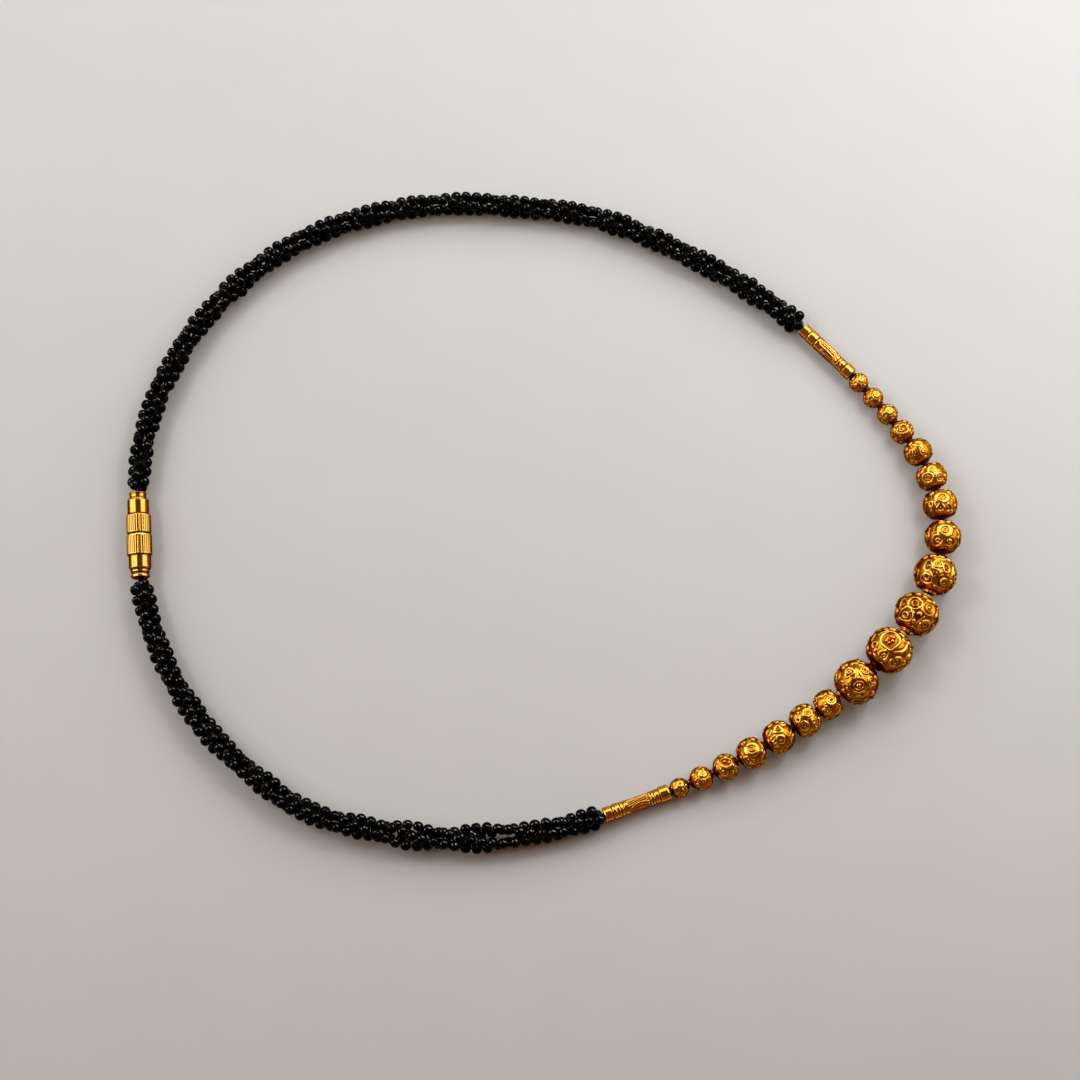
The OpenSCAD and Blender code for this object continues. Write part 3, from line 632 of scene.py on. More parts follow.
    # painted shade at the foot of the collars, and between neighbouring beads
    foot = np.clip(1 - edge / (5 if dia < 8 else 3), 0, 1) * (1.0 if dia < 8 else 0.35)
    if i in BRIGHT_NEXT:
        foot[:n_body // 2] *= 0.3
    if i in BRIGHT_LAST:
        foot[n_body // 2:] *= 0.3
    cav[b0:b0 + n_body] = np.maximum(cav[b0:b0 + n_body], foot)
    shown = np.zeros(len(prof), bool)
    if i in BRIGHT_NEXT:
        shown[:n_ring] = True
    if i in BRIGHT_LAST:
        shown[n_ring + n_body:] = True
    # painted shade on the collars and in the bore, except on the collars that are shown bright
    cav[part == 0] = 0.75
    cav[(part == 0) & shown] = 0
    cav[part == 2] = 1
    wear_and_painted_light = np.zeros(pts.shape[:2])
    # raised work takes the ridge colour: rubbed bright by wear, and a painted highlight
    wear_and_painted_light[b0:b0 + n_body] = np.clip((h - work.WEB - 0.006) / 0.018, 0, 1)
    # the collars: painted shade where hidden, and a painted highlight on the ones shown bright
    wear_and_painted_light[part == 0] = -0.8
    wear_and_painted_light[(part == 0) & shown] = 0.8
    # painted shade and painted reflection: the flanks are painted darker and redder the further they turn from the
    # upper side
    low = np.zeros(pts.shape[:2])
    low[b0:b0 + n_body] = smooth((0.84 - n @ PAINTED_LIGHT_SIDE) / 0.5)
    quads = outward(pts.reshape(-1, 3), torus_quads(len(prof), m))
    return make_mesh("gold_bead_%02d" % (i + 1), (pts + centre).reshape(-1, 3), quads,
                     values={"cavity": cav.ravel(), "wear_and_painted_light": wear_and_painted_light.ravel(), "low": low.ravel()})


# ---------------------------------------------------------------------------
# Materials
# ---------------------------------------------------------------------------


def new_material(name):
    m = bpy.data.materials.new(name)
    m.use_nodes = True
    nt = m.node_tree
    nt.nodes.clear()
    out = nt.nodes.new("ShaderNodeOutputMaterial")
    sh = nt.nodes.new("ShaderNodeBsdfPrincipled")
    nt.links.new(sh.outputs[0], out.inputs[0])
    return m, nt, sh


def node(nt, kind, **settings):
    n = nt.nodes.new(kind)
    for k, v in settings.items():
        if k.startswith("in_"):
            key = k[3:]
            n.inputs[int(key) if key.isdigit() else key].default_value = v
        else:
            setattr(n, k, v)
    return n


def noise_at(nt, scale, detail=3, rough=0.5):
    co = nt.nodes.new("ShaderNodeTexCoord")
    n = node(nt, "ShaderNodeTexNoise", in_Scale=scale, in_Detail=detail, in_Roughness=rough)
    nt.links.new(co.outputs["Object"], n.inputs["Vector"])
    return n


def maths(nt, op, a, b, clamp=False):
    n = node(nt, "ShaderNodeMath", operation=op, use_clamp=clamp)
    for k, x in enumerate((a, b)):
        if isinstance(x, (int, float)):
            n.inputs[k].default_value = x
        else:
            nt.links.new(x, n.inputs[k])
    return n.outputs[0]


def mix_colour(nt, fac, a, b):
    n = node(nt, "ShaderNodeMix", data_type="RGBA")
    for sock, x in ((n.inputs["Factor"], fac), (n.inputs[6], a), (n.inputs[7], b)):
        if isinstance(x, (int, float)):
            sock.default_value = x
        elif isinstance(x, tuple):
            sock.default_value = x if len(x) == 4 else (*x, 1)
        else:
            nt.links.new(x, sock)
    return n.outputs[2]


def gold_material(name, ridge, ground, hollow, rough, bump=0.07, sides=0.95, tips=0.45):
    """ridge, ground and hollow are the colours of the raised lines (rubbed bright, and a painted highlight), the plain
    metal and the darkened hollows (dirt, and painted shade). sides and tips say how much the painted flank shade
    darkens the plain metal and the raised lines.
    """
    m, nt, sh = new_material(name)
    cav = node(nt, "ShaderNodeAttribute", attribute_name="cavity")
    wear_and_painted_light = node(nt, "ShaderNodeAttribute", attribute_name="wear_and_painted_light")
    low = node(nt, "ShaderNodeAttribute", attribute_name="low")
    big = noise_at(nt, 420, 4)
    wave = noise_at(nt, 900, 2)
    fine = noise_at(nt, 5200, 3)
    # slow drifts in the tone of the plain metal
    other = tuple(c * k for c, k in zip(ground, (1.06, 1.10, 1.15)))
    base = mix_colour(nt, big.outputs["Fac"], ground, other)
    # painted shade and painted reflection: the flanks are painted dark red
    side = tuple(k * c for k, c in zip((0.34, 0.13, 0.06), ground))
    base = mix_colour(nt, maths(nt, "MULTIPLY", low.outputs["Fac"], sides), base, side)
    # the raised lines take the ridge colour, rubbed bright and with a painted highlight, less on the painted flanks
    shine_mask = maths(nt, "MULTIPLY", wear_and_painted_light.outputs["Fac"], maths(nt, "SUBTRACT", 1.0, maths(nt, "MULTIPLY", low.outputs["Fac"], tips)), True)
    base = mix_colour(nt, shine_mask, base, ridge)
    # the hollows take the hollow colour: dirt, and painted shade
    grime_and_shade = maths(nt, "MULTIPLY", cav.outputs["Fac"], maths(nt, "ADD", maths(nt, "MULTIPLY", big.outputs["Fac"], 0.5), 0.7), True)
    base = mix_colour(nt, grime_and_shade, base, hollow)
    # painted shade: the necks between small beads are painted near black
    base = mix_colour(nt, maths(nt, "MULTIPLY", wear_and_painted_light.outputs["Fac"], -1.0, True), base, tuple(0.25 * c for c in hollow))
    nt.links.new(base, sh.inputs["Base Color"])
    sh.inputs["Metallic"].default_value = 1
    sh.inputs["Specular Tint"].default_value = (0.40, 0.17, 0.03, 1)
    r = maths(nt, "ADD", maths(nt, "MULTIPLY", cav.outputs["Fac"], 0.16), rough)
    r = maths(nt, "ADD", r, maths(nt, "MULTIPLY", fine.outputs["Fac"], 0.08))
    nt.links.new(r, sh.inputs["Roughness"])
    soft = node(nt, "ShaderNodeBump", in_Strength=0.2, in_Distance=0.00002)
    nt.links.new(wave.outputs["Fac"], soft.inputs["Height"])
    b = node(nt, "ShaderNodeBump", in_Strength=bump, in_Distance=0.00002)
    nt.links.new(fine.outputs["Fac"], b.inputs["Height"])
    nt.links.new(soft.outputs[0], b.inputs["Normal"])
    nt.links.new(b.outputs[0], sh.inputs["Normal"])
    return m


# the shining facets of a black bead: the way that they face, their lean from level, their half sizes,
# the two of a bead's own numbers that shift them, and the share of beads that have them
FACETS = [(62, 0.31, 0.10, 0.17, 0, 1, 0.95), (168, 0.46, 0.085, 0.15, 1, 2, 0.75), (25, 0.50, 0.07, 0.12, 2, 0, 0.6)]


def black_material():
    m, nt, sh = new_material("black_glass")
    big = noise_at(nt, 260, 2)
    wob = noise_at(nt, 1700, 2, 0.6)
    base = mix_colour(nt, big.outputs["Fac"], (0.0002, 0.0002, 0.0002), (0.0008, 0.0006, 0.0005))
    nt.links.new(base, sh.inputs["Base Color"])
    # the skin is dull with handling, and shines in a few small facets on the upper side of each bead
    geo = nt.nodes.new("ShaderNodeNewGeometry")
    own = [node(nt, "ShaderNodeAttribute", attribute_name="own_" + c).outputs["Fac"] for c in "abc"]
    shine_mask = None
    for turn, lean, half_a, half_b, own_a, own_b, share in FACETS:
        fx, fy = math.cos(math.radians(turn)), math.sin(math.radians(turn))
        along, across = (node(nt, "ShaderNodeVectorMath", operation="DOT_PRODUCT", in_1=v) for v in ((fx, fy, 0), (-fy, fx, 0)))
        for n in (along, across):
            nt.links.new(geo.outputs["Normal"], n.inputs[0])
        da = maths(nt, "SUBTRACT", along.outputs["Value"], maths(nt, "ADD", maths(nt, "MULTIPLY", own[own_a], 0.16), lean - 0.08))
        db = maths(nt, "SUBTRACT", across.outputs["Value"], maths(nt, "ADD", maths(nt, "MULTIPLY", own[own_b], 0.3), -0.15))
        off = maths(nt, "MAXIMUM", maths(nt, "MULTIPLY", maths(nt, "ABSOLUTE", da, 0), 1 / half_a),
                    maths(nt, "MULTIPLY", maths(nt, "ABSOLUTE", db, 0), 1 / half_b))
        edge = node(nt, "ShaderNodeMapRange", interpolation_type="SMOOTHSTEP")
        for k, v in enumerate((1.2, 0.75, 0.0, 1.0)):
            edge.inputs[k + 1].default_value = v
        nt.links.new(off, edge.inputs[0])
        # some beads lack this facet
        there = node(nt, "ShaderNodeMapRange")
        for k, v in enumerate((1 - share, 1 - share + 0.15, 0.0, 1.0)):
            there.inputs[k + 1].default_value = v
        nt.links.new(own[3 - own_a - own_b], there.inputs[0])
        one = maths(nt, "MULTIPLY", edge.outputs[0], there.outputs[0])
        shine_mask = one if shine_mask is None else maths(nt, "MAXIMUM", shine_mask, one)
    level = maths(nt, "ADD", maths(nt, "MULTIPLY", shine_mask, 0.70), 0.025)
    sh.inputs["IOR"].default_value = 1.68
    nt.links.new(level, sh.inputs["Specular IOR Level"])
    r = maths(nt, "ADD", maths(nt, "MULTIPLY", wob.outputs["Fac"], 0.06), 0.02)
    nt.links.new(r, sh.inputs["Roughness"])
    b = node(nt, "ShaderNodeBump", in_Strength=0.3, in_Distance=0.0001)
    nt.links.new(wob.outputs["Fac"], b.inputs["Height"])
    nt.links.new(b.outputs[0], sh.inputs["Normal"])
    return m


def thread_material():
    m, nt, sh = new_material("dark_thread")
    n = noise_at(nt, 2600, 3)
    base = mix_colour(nt, n.outputs["Fac"], (0.006, 0.005, 0.005), (0.05, 0.035, 0.03))
    nt.links.new(base, sh.inputs["Base Color"])
    r = maths(nt, "ADD", maths(nt, "MULTIPLY", n.outputs["Fac"], 0.2), 0.6)
    nt.links.new(r, sh.inputs["Roughness"])
    b = node(nt, "ShaderNodeBump", in_Strength=0.6, in_Distance=0.00005)
    nt.links.new(n.outputs["Fac"], b.inputs["Height"])
    nt.links.new(b.outputs[0], sh.inputs["Normal"])
    return m


GOLD_BEADS = gold_material("gold_beads", (0.90, 0.515, 0.084), (0.61, 0.225, 0.0085), (0.20, 0.030, 0.001), 0.15)
GOLD_TUBES = gold_material("gold_tubes", (1.0, 0.60, 0.10), (0.90, 0.35, 0.014), (0.26, 0.024, 0.001), 0.13, tips=0.8)
GOLD_CLASP = gold_material("gold_clasp", (0.84, 0.56, 0.15), (0.68, 0.36, 0.030), (0.19, 0.035, 0.0015), 0.09, tips=0.95)
BLACK = black_material()
THREAD = thread_material()


def finish_piece(ob, material, slot, *nodes):
    ob.data.materials.append(material)
    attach(ob, "root")
    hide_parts(*nodes)
    return ob


for i in range(len(BEADS)):
    finish_piece(bead_shell(i), GOLD_BEADS, "gold_beads", "bead_%02d" % (i + 1))


# ---------------------------------------------------------------------------
# Turned pieces: the two tubes and the clasp
# ---------------------------------------------------------------------------


def lathe_frame(p, direction, far_side=False):
    """A frame with its first axis along direction, and its third pointing up."""
    d = np.array([direction[0], direction[1], 0.0])
    side = np.array([-d[1], d[0], 0.0])
    return np.array(p, float), d, side, np.array([0, 0, 1.0])


def turned(name, frame_, z, radius, hole, m, relief=None, flank=None):
    """A closed turned body. z and radius give the outline. relief(z, angle) is added to the radius on the outside.
    angle is 0 on top, and grows towards the left of the direction. flank(z, out) gives the painted shade and painted
    reflection on the sides."""
    p, d, s, u = frame_
    ang = np.linspace(0, 2 * math.pi, m, endpoint=False)
    out = np.cos(ang)[:, None] * u + np.sin(ang)[:, None] * s
    zz, aa = np.meshgrid(z, ang, indexing="ij")
    h = relief(zz, aa) if relief is not None else np.zeros(zz.shape)
    rr = radius[:, None] + h
    bore_z = np.array([z[-1] - 0.04, z[-1] - 0.25, (z[0] + z[-1]) / 2, z[0] + 0.25, z[0] + 0.04])
    bore_r = np.array([hole + 0.03, hole, hole, hole, hole + 0.03])
    all_z = np.vstack([zz, np.repeat(bore_z[:, None], m, 1)])
    all_r = np.vstack([rr, np.repeat(bore_r[:, None], m, 1)])
    pts = all_z[..., None] * d + all_r[..., None] * out[None]
    soft = blur_grid(rr, 8)
    rise = (soft - rr) / 0.04
    # darkening in the hollows and the bore: dirt, and painted shade
    cav = np.zeros(all_z.shape)
    cav[:len(z)] = np.clip(1.3 * rise, 0, 1)
    cav[len(z):] = 1
    # raised parts take the ridge colour: rubbed bright, and a painted highlight
    wear_and_painted_light = np.zeros(all_z.shape)
    wear_and_painted_light[:len(z)] = np.clip(0.3 - 1.2 * rise, 0, 1)
    # painted shade and painted reflection on the flanks, darker the further the surface turns from up
    low = np.repeat(smooth((0.68 - out[:, 2]) / 0.32)[None], len(all_z), 0)
    if flank is not None:
        low[:len(z)] = flank(z, out)
    quads = outward(pts.reshape(-1, 3), torus_quads(len(all_z), m))
    return make_mesh(name, (pts + p).reshape(-1, 3), quads, values={"cavity": cav.ravel(), "wear_and_painted_light": wear_and_painted_light.ravel(), "low": low.ravel()})


def outline(bands, top, step=0.06, fillet=0.05):
    """bands are (length, depth); returns z and radius with rounded edges."""
    z_edges = np.concatenate([[0], np.cumsum([b[0] for b in bands])])
    n = int(z_edges[-1] / step)
    z = np.linspace(0, z_edges[-1], n)
    r = np.zeros(n)
    for k, (ln, depth) in enumerate(bands):
        w = smooth((z - z_edges[k]) / (2 * fillet) + 0.5) if k else np.ones(n)
        r = r * (1 - w) + (top - depth) * w
    # rounded ends
    e = np.minimum(z, z[-1] - z)
    r = r - 0.12 * (1 - smooth(e / 0.14)) ** 2
    return z, r


def upper_tube_relief(R):
    def f(z, a):
        # arc length from the top line, to the left of the direction; the pattern comes twice round
        w = ((a + math.pi) % (2 * math.pi) - math.pi) * R
        half = math.pi * R
        w = (w + half / 2) % half - half / 2
        on = smooth((z - 3.75) / 0.2) * smooth((9.55 - z) / 0.2)
        # long ridges that step down where they begin and where they leave
        step = 0.8 * (1 - smooth((z - 3.9) / 1.3)) - 0.85 * smooth((z - 8.2) / 1.4)
        y = w - step
        ridge = (0.5 + 0.5 * np.cos(2 * math.pi * (y - 0.35) / 0.58)) ** 0.9
        hatch = 1 - 0.35 * (y > 1.2) * (0.5 + 0.5 * np.cos(2 * math.pi * (z + y) / 0.32))
        band = smooth((y + 0.52) / 0.1) * smooth((1.82 - y) / 0.1)
        h = 0.16 * ridge * hatch * band
        # a hollow lens below them, with shorter arcs in it
        q = np.hypot((z - 7.5) / 2.3, (w + 0.95) / 0.75)
        arcs = (0.5 + 0.5 * np.cos(2 * math.pi * (w + 0.85 + 0.09 * (z - 7.4) ** 2) / 0.5)) * smooth((0.95 - q) / 0.2)
        h = np.maximum(h, 0.13 * arcs * (1 - band))
        # a plain block at each end of the body
        block = smooth((4.35 - z) / 0.12) * smooth((w + 0.1) / 0.1) * smooth((0.95 - w) / 0.1)
        vee = fade(np.abs(w + 0.2) - 1.9 * (9.5 - z), 0.14) * (z > 8.9)
        h = np.maximum(np.maximum(h, 0.14 * block), 0.12 * vee)
        h = (h - 0.12) * on
        # a diamond on the band before the end
        tb = (z - 10.75) / 0.75
        dia = np.abs(tb) + np.abs(w - 0.2) / 1.0
        h = h + 0.07 * (smooth((1.0 - dia) / 0.2) - 1) * (np.abs(tb) < 1)
        # the slanting edge of the second band
        h = h - 0.07 * fade(z - 1.95 - 0.2 * np.sin(2 * a), 0.16)
        # small dents
        h = h - 0.04 * np.exp(-((z - 12.3) / 0.25) ** 2 - ((w + 0.15) / 0.2) ** 2) - 0.04 * np.exp(-((z - 0.85) / 0.3) ** 2 - ((w + 0.1) / 0.15) ** 2)
        return h
    return f


UP_BANDS = [(0.22, 0.02), (1.38, 0.09), (0.22, 0.3), (1.78, 0.04), (0.25, 0.28), (5.4 + 1.05, 0.07), (0.22, 0.24),
            (1.55, 0.07), (0.26, 0.26), (1.75, 0.02), (0.2, 0.1)]
UP_BANDS[5] = (UPPER_LEN - sum(b[0] for k, b in enumerate(UP_BANDS) if k != 5), 0.07)
z, r = outline(UP_BANDS, UPPER_TUBE_D / 2, step=0.075)
up_dir = heading(TUBE_TURN)
ob = turned("gold_tube_upper", lathe_frame([TUBE_AT[0], TUBE_AT[1], tube_z], up_dir), z, r, TUBE_HOLE / 2, 84,
            upper_tube_relief(UPPER_TUBE_D / 2))
finish_piece(ob, GOLD_TUBES, "gold_tubes", "tube_upper")


def lower_tube_relief(R):
    def f(z, a):
        w = ((a + math.pi) % (2 * math.pi) - math.pi) * R
        half = math.pi * R
        w = (w + half / 2) % half - half / 2
        on = smooth((z - 4.85) / 0.15) * smooth((9.6 - z) / 0.15)
        # ridges that climb slowly
        arch = -0.05 - 0.15 * (z - 7.5) ** 2
        y = w - 0.2 * (z - 7.2)
        h = 0.14 * (0.5 + 0.5 * np.cos(2 * math.pi * (y - 0.3) / 0.48)) * smooth((w - arch - 0.25) / 0.1) * smooth((1.75 - w) / 0.12)
        # nested arches below them
        q = arch - w
        arches = (0.5 + 0.5 * np.cos(2 * math.pi * q / 0.52)) * smooth((q + 0.3) / 0.06) * smooth((1.45 - q) / 0.1)
        h = np.maximum(h, 0.15 * arches)
        h = (h - 0.10) * on
        # worn rings on the end band
        for zz, ww in ((0.75, -0.75), (1.3, -0.35), (1.2, -1.1)):
            h = h - 0.045 * fade(np.hypot(z - zz, w - ww) - 0.22, 0.13)
        # a slanting groove on the flared band
        h = h - 0.08 * fade(z - 2.65 + 0.3 * w, 0.14) * (z > 1.9) * (z < 3.5)
        # bosses on the short bright band
        h = h - 0.06 * (0.5 - 0.5 * np.cos(4 * a + 0.6)) * smooth((z - 10.45) / 0.1) * smooth((11.3 - z) / 0.1)
        # a slot in the end flange
        h = h - 0.07 * fade(w + 0.42, 0.16) * smooth((z - 11.9) / 0.1) * smooth((13.0 - z) / 0.1)
        return h
    return f


LOW_BANDS = [(0.25, 0.03), (1.35, 0.12), (0.25, 0.32), (1.45, 0.06), (0.2, 0.28), (0.45, 0.12), (0.22, 0.28), (5.0, 0.14),
             (0.22, 0.3), (0.36, 0.1), (0.18, 0.28), (0.36, 0.1), (0.2, 0.28), (0.85, 0.12), (0.2, 0.3), (1.75, 0.0), (0.2, 0.05)]
LOW_BANDS[7] = (LOWER_LEN - sum(b[0] for k, b in enumerate(LOW_BANDS) if k != 7), 0.14)
z, r = outline(LOW_BANDS, LOWER_TUBE_D / 2, step=0.075)
ob = turned("gold_tube_lower", lathe_frame([lower_end[0], lower_end[1], tube_z], -lower_dir), z, r, TUBE_HOLE / 2, 90,
            lower_tube_relief(LOWER_TUBE_D / 2))
finish_piece(ob, GOLD_TUBES, "gold_tubes", "tube_lower")


def grip_relief(z0, z1, ribs, depth, phase):
    def f(z, a):
        on = smooth((z - z0) / 0.12) * smooth((z1 - z) / 0.12)
        c = a * ribs / (2 * math.pi) + phase
        rib = 0.5 + 0.5 * np.cos(2 * math.pi * c)
        which = np.mod(np.round(c), 3)
        beads = 0.5 + 0.5 * np.cos(2 * math.pi * z / 0.36 + which)
        h = depth * (rib ** 0.8 - 1)
        h = h - (which == 0) * depth * 0.45 * rib * (1 - beads)
        return h * on
    return f


def clasp_half(name, stages, direction, start, relief, node_name, grip, m=220):
    z, r = outline(stages, CLASP_D / 2, step=0.09, fillet=0.045)

    def flank(z, out):
        # painted shade and painted reflection: the lower flanks are painted dark, reaching higher on one side, and less
        # on the ribs
        plain = smooth((np.where(out[:, 0] < 0, 0.77, 0.66) - out[:, 2]) / 0.1)
        ribbed = smooth((0.45 - out[:, 2]) / 0.2)
        on = (smooth((z - grip[0]) / 0.12) * smooth((grip[1] - z) / 0.12))[:, None]
        return plain[None] * (1 - on) + ribbed[None] * on

    ob = turned(name, lathe_frame([start[0], start[1], clasp_z], direction), z, r, 0.8, m, relief, flank)
    finish_piece(ob, GOLD_CLASP, "gold_clasp", node_name)
    return ob


# free end first
SOCKET = [(0.16, 0.72), (1.0, 0.86), (0.34, 0.70), (2.95, 0.38), (0.12, 0.3), (3.5, 0.06), (0.15, 0.12)]
SCREW = [(0.2, 0.9), (0.55, 0.62), (0.45, 0.82), (0.55, 0.6), (0.25, 0.5), (2.6, 0.3), (0.12, 0.22), (3.75, 0.0), (0.22, 0.06), (0.15, 0.16)]
SOCKET[5] = (SOCKET_LEN - sum(b[0] for k, b in enumerate(SOCKET) if k != 5), 0.06)
SCREW[7] = (SCREW_LEN - sum(b[0] for k, b in enumerate(SCREW) if k != 7), 0.0)
cd = heading(CLASP_TURN)
clasp_half("gold_clasp_socket", SOCKET, -cd, clasp_top, grip_relief(4.62, 8.13, 30, 0.07, 0.0), "clasp_socket", (4.62, 8.2))
clasp_half("gold_clasp_screw", SCREW, cd, clasp_low, grip_relief(4.75, 8.5, 30, 0.07, 0.3), "clasp_screw", (4.75, 8.9))


# ---------------------------------------------------------------------------
# Black beads: four strands to a rope, packed bead by bead
# ---------------------------------------------------------------------------
BEAD_D = 2.2


def dense(plan, z_first, z_last):
    q = curve(plan)
    d = travel(q)
    s = np.linspace(0, d[-1], 900)
    xy = at(s, q, d)
    ends = np.minimum(s, d[-1] - s)
    e = smooth(ends / 5.0)
    z_end = np.where(s < d[-1] / 2, z_first, z_last)
    z = z_end + (2.6 - z_end) * e
    return np.column_stack([xy, z]), s


def strand_beads(path, s, quarters, phase, rng, loose, first, last):
    """Returns centres, strand numbers, diameters and lengths of all beads of one rope, packed so that none overlap.
    first and last say how far each strand's end beads stand from the metal."""
    run = s[-1]
    t = np.gradient(path, axis=0)
    t /= np.linalg.norm(t, axis=1, keepdims=True)
    side = np.cross([0, 0, 1.0], t)
    side /= np.linalg.norm(side, axis=1, keepdims=True)
    up = np.cross(t, side)
    ends = np.minimum(s, run - s)
    knots = np.linspace(0, run, 14)
    common = np.interp(s, knots, rng.normal(0, 0.2, 14))
    centres, who, dia = [], [], []
    count = int(round((run * 1.045 - 2.1) / BEAD_D))
    for k in range(4):
        wob = common + np.interp(s, knots, rng.normal(0, 0.05, 14))
        wob_r = np.interp(s, knots, rng.normal(0, 0.05, 14))
        ang = phase + k * math.pi / 2 + 0.5 * math.pi * quarters * s / run + wob * smooth(ends / 6.0)
        rho = 1.12 + 0.24 * smooth(ends / 7.0) + wob_r * smooth(ends / 8.0)
        wide = np.zeros(len(s))
        for mid, half, amount in loose:
            wide = np.maximum(wide, amount * smooth(1.2 - np.abs(s - mid) / half))
        lat = rho * np.cos(ang)
        ver = rho * np.sin(ang)
        lat = lat * (1 + wide) + np.sign(lat) * wide * 0.6
        ver = ver * (1 - 0.35 * wide)
        p = path + lat[:, None] * side + ver[:, None] * up
        keep = (s >= first[k]) & (s <= run - last[k])
        p = p[keep]
        d = travel(p)
        n = count - k % 2
        pos = np.linspace(0, d[-1], n + 1)
        pos[1:-1] += rng.normal(0, 0.04, n - 1)
        centres.append(at(pos, p, d))
        who += [k] * (n + 1)
        dia.append(BEAD_D * (1 + np.clip(rng.normal(0, 0.045, n + 1), -0.1, 0.08)))
    p = np.vstack(centres)
    who = np.array(who)
    dia = np.concatenate(dia)
    want = p.copy()
    n = len(p)
    same = who[:-1] == who[1:]
    idx = np.where(same)[0]
    breaks = np.where(~same)[0]
    head = np.concatenate([[0], breaks + 1])
    tail = np.concatenate([breaks, [n - 1]])
    r = dia / 2
    nb = np.zeros((n, n), bool)
    nb[idx, idx + 1] = nb[idx + 1, idx] = True
    rest = np.linalg.norm(p[idx + 1] - p[idx], axis=1)
    need = (r[:, None] + r[None]) * 0.97
    need[nb] = 0
    np.fill_diagonal(need, 0)
    t0, t1 = unit(path[3] - path[0]), unit(path[-1] - path[-4])
    head_at = (want[head] - path[0]) @ t0
    tail_at = (want[tail] - path[-1]) @ t1
    for it in range(260):
        # neighbours on a strand keep their distance
        for _ in range(3):
            dv = p[idx + 1] - p[idx]
            dl = np.linalg.norm(dv, axis=1)
            move = dv * ((dl - rest) / dl * 0.45)[:, None]
            np.add.at(p, idx, move)
            np.add.at(p, idx + 1, -move)
        # beads of different strands push each other off
        diff = p[None] - p[:, None]
        dist = np.sqrt((diff ** 2).sum(-1)) + 1e-9
        over = np.clip(need - dist, 0, None)
        p -= (diff * (over / dist)[..., None] * 0.36).sum(1)
        # the twist holds the rope together, on the surface
        p += (want - p) * (0.1 if it < 180 else 0.01)
        p[:, 2] = np.maximum(p[:, 2], r + 0.01)
        # nothing enters the clasp or the tubes, and the end beads stay close to them
        a = (p - path[0]) @ t0 - (r * 0.9 + 0.10)
        b = (path[-1] - p) @ t1 - (r * 0.9 + 0.10)
        p -= np.minimum(a, 0)[:, None] * t0
        p += np.minimum(b, 0)[:, None] * t1
        p[head] -= (((p[head] - path[0]) @ t0 - head_at) * 0.5)[:, None] * t0
        p[tail] -= (((p[tail] - path[-1]) @ t1 - tail_at) * 0.5)[:, None] * t1
    gap = np.linalg.norm(p[idx + 1] - p[idx], axis=1)
    room = np.full((2, n), np.nan)
    room[0, idx], room[1, idx + 1] = gap, gap
    length = np.minimum(np.minimum(np.nanmean(room, 0), np.nanmin(room, 0) * 1.04) * 0.97, dia)
    diff = p[None] - p[:, None]
    dist = np.sqrt((diff ** 2).sum(-1))
    worst = float(np.max(need - dist))
    return p, who, dia, length, worst


# the outline of one black bead, round with a hole: along the thread and away from it, in half sizes
BEAD_LINE = [(-0.80, 0.34), (-0.93, 0.44), (-0.80, 0.66), (-0.53, 0.87), (-0.19, 0.985), (0.19, 0.985), (0.53, 0.87),
             (0.80, 0.66), (0.93, 0.44), (0.80, 0.34), (0.0, 0.30)]


def rope_mesh(name, p, who, dia, length, rng, seg):
    line = np.array(BEAD_LINE)
    ang = np.linspace(0, 2 * math.pi, seg, endpoint=False)
    n = len(p)
    tangent = np.zeros((n, 3))
    for k in range(4):
        ids = np.where(who == k)[0]
        tangent[ids] = np.gradient(p[ids], axis=0)
    tangent += rng.normal(0, 0.10, (n, 3)) * np.linalg.norm(tangent, axis=1, keepdims=True)
    tangent /= np.linalg.norm(tangent, axis=1, keepdims=True)
    verts, quads = [], []
    own = np.repeat(np.random.default_rng(n).uniform(0, 1, (n, 3)), len(line) * seg, 0)
    base = torus_quads(len(line), seg)
    for k in range(n):
        t = tangent[k]
        s = np.cross(t, [0, 0, 1.0])
        s /= np.linalg.norm(s)
        u = np.cross(s, t)
        spin = rng.uniform(0, 6.28)
        a = ang + spin
        # hand-cut beads aren't quite round
        flat = 1 + 0.022 * np.cos(2 * a + rng.uniform(0, 6.28)) + 0.012 * np.cos(3 * a + rng.uniform(0, 6.28)) + 0.01 * np.cos(5 * a + rng.uniform(0, 6.28))
        lean = rng.normal(0, 0.035)
        z = line[:, 0] * length[k] / 2
        rr = line[:, 1] * dia[k] / 2 / 1.03
        rr2 = rr[:, None] * flat[None] * (1 + lean * line[:, 0])[:, None]
        out = np.cos(a)[:, None] * s + np.sin(a)[:, None] * u
        pts = z[:, None, None] * t + rr2[..., None] * out[None] + p[k]
        verts.append(pts.reshape(-1, 3))
        q = base if k == 0 else base
        quads.append(q + k * len(line) * seg)
    v = np.vstack(verts)
    v[:, 2] = np.maximum(v[:, 2], 0.0)
    one = quads[0]
    flip = signed_volume(verts[0] - p[0], one) < 0
    q = np.vstack(quads)
    if flip:
        q = q[:, ::-1]
    return make_mesh(name, v, q, values={"own_a": own[:, 0], "own_b": own[:, 1], "own_c": own[:, 2]})


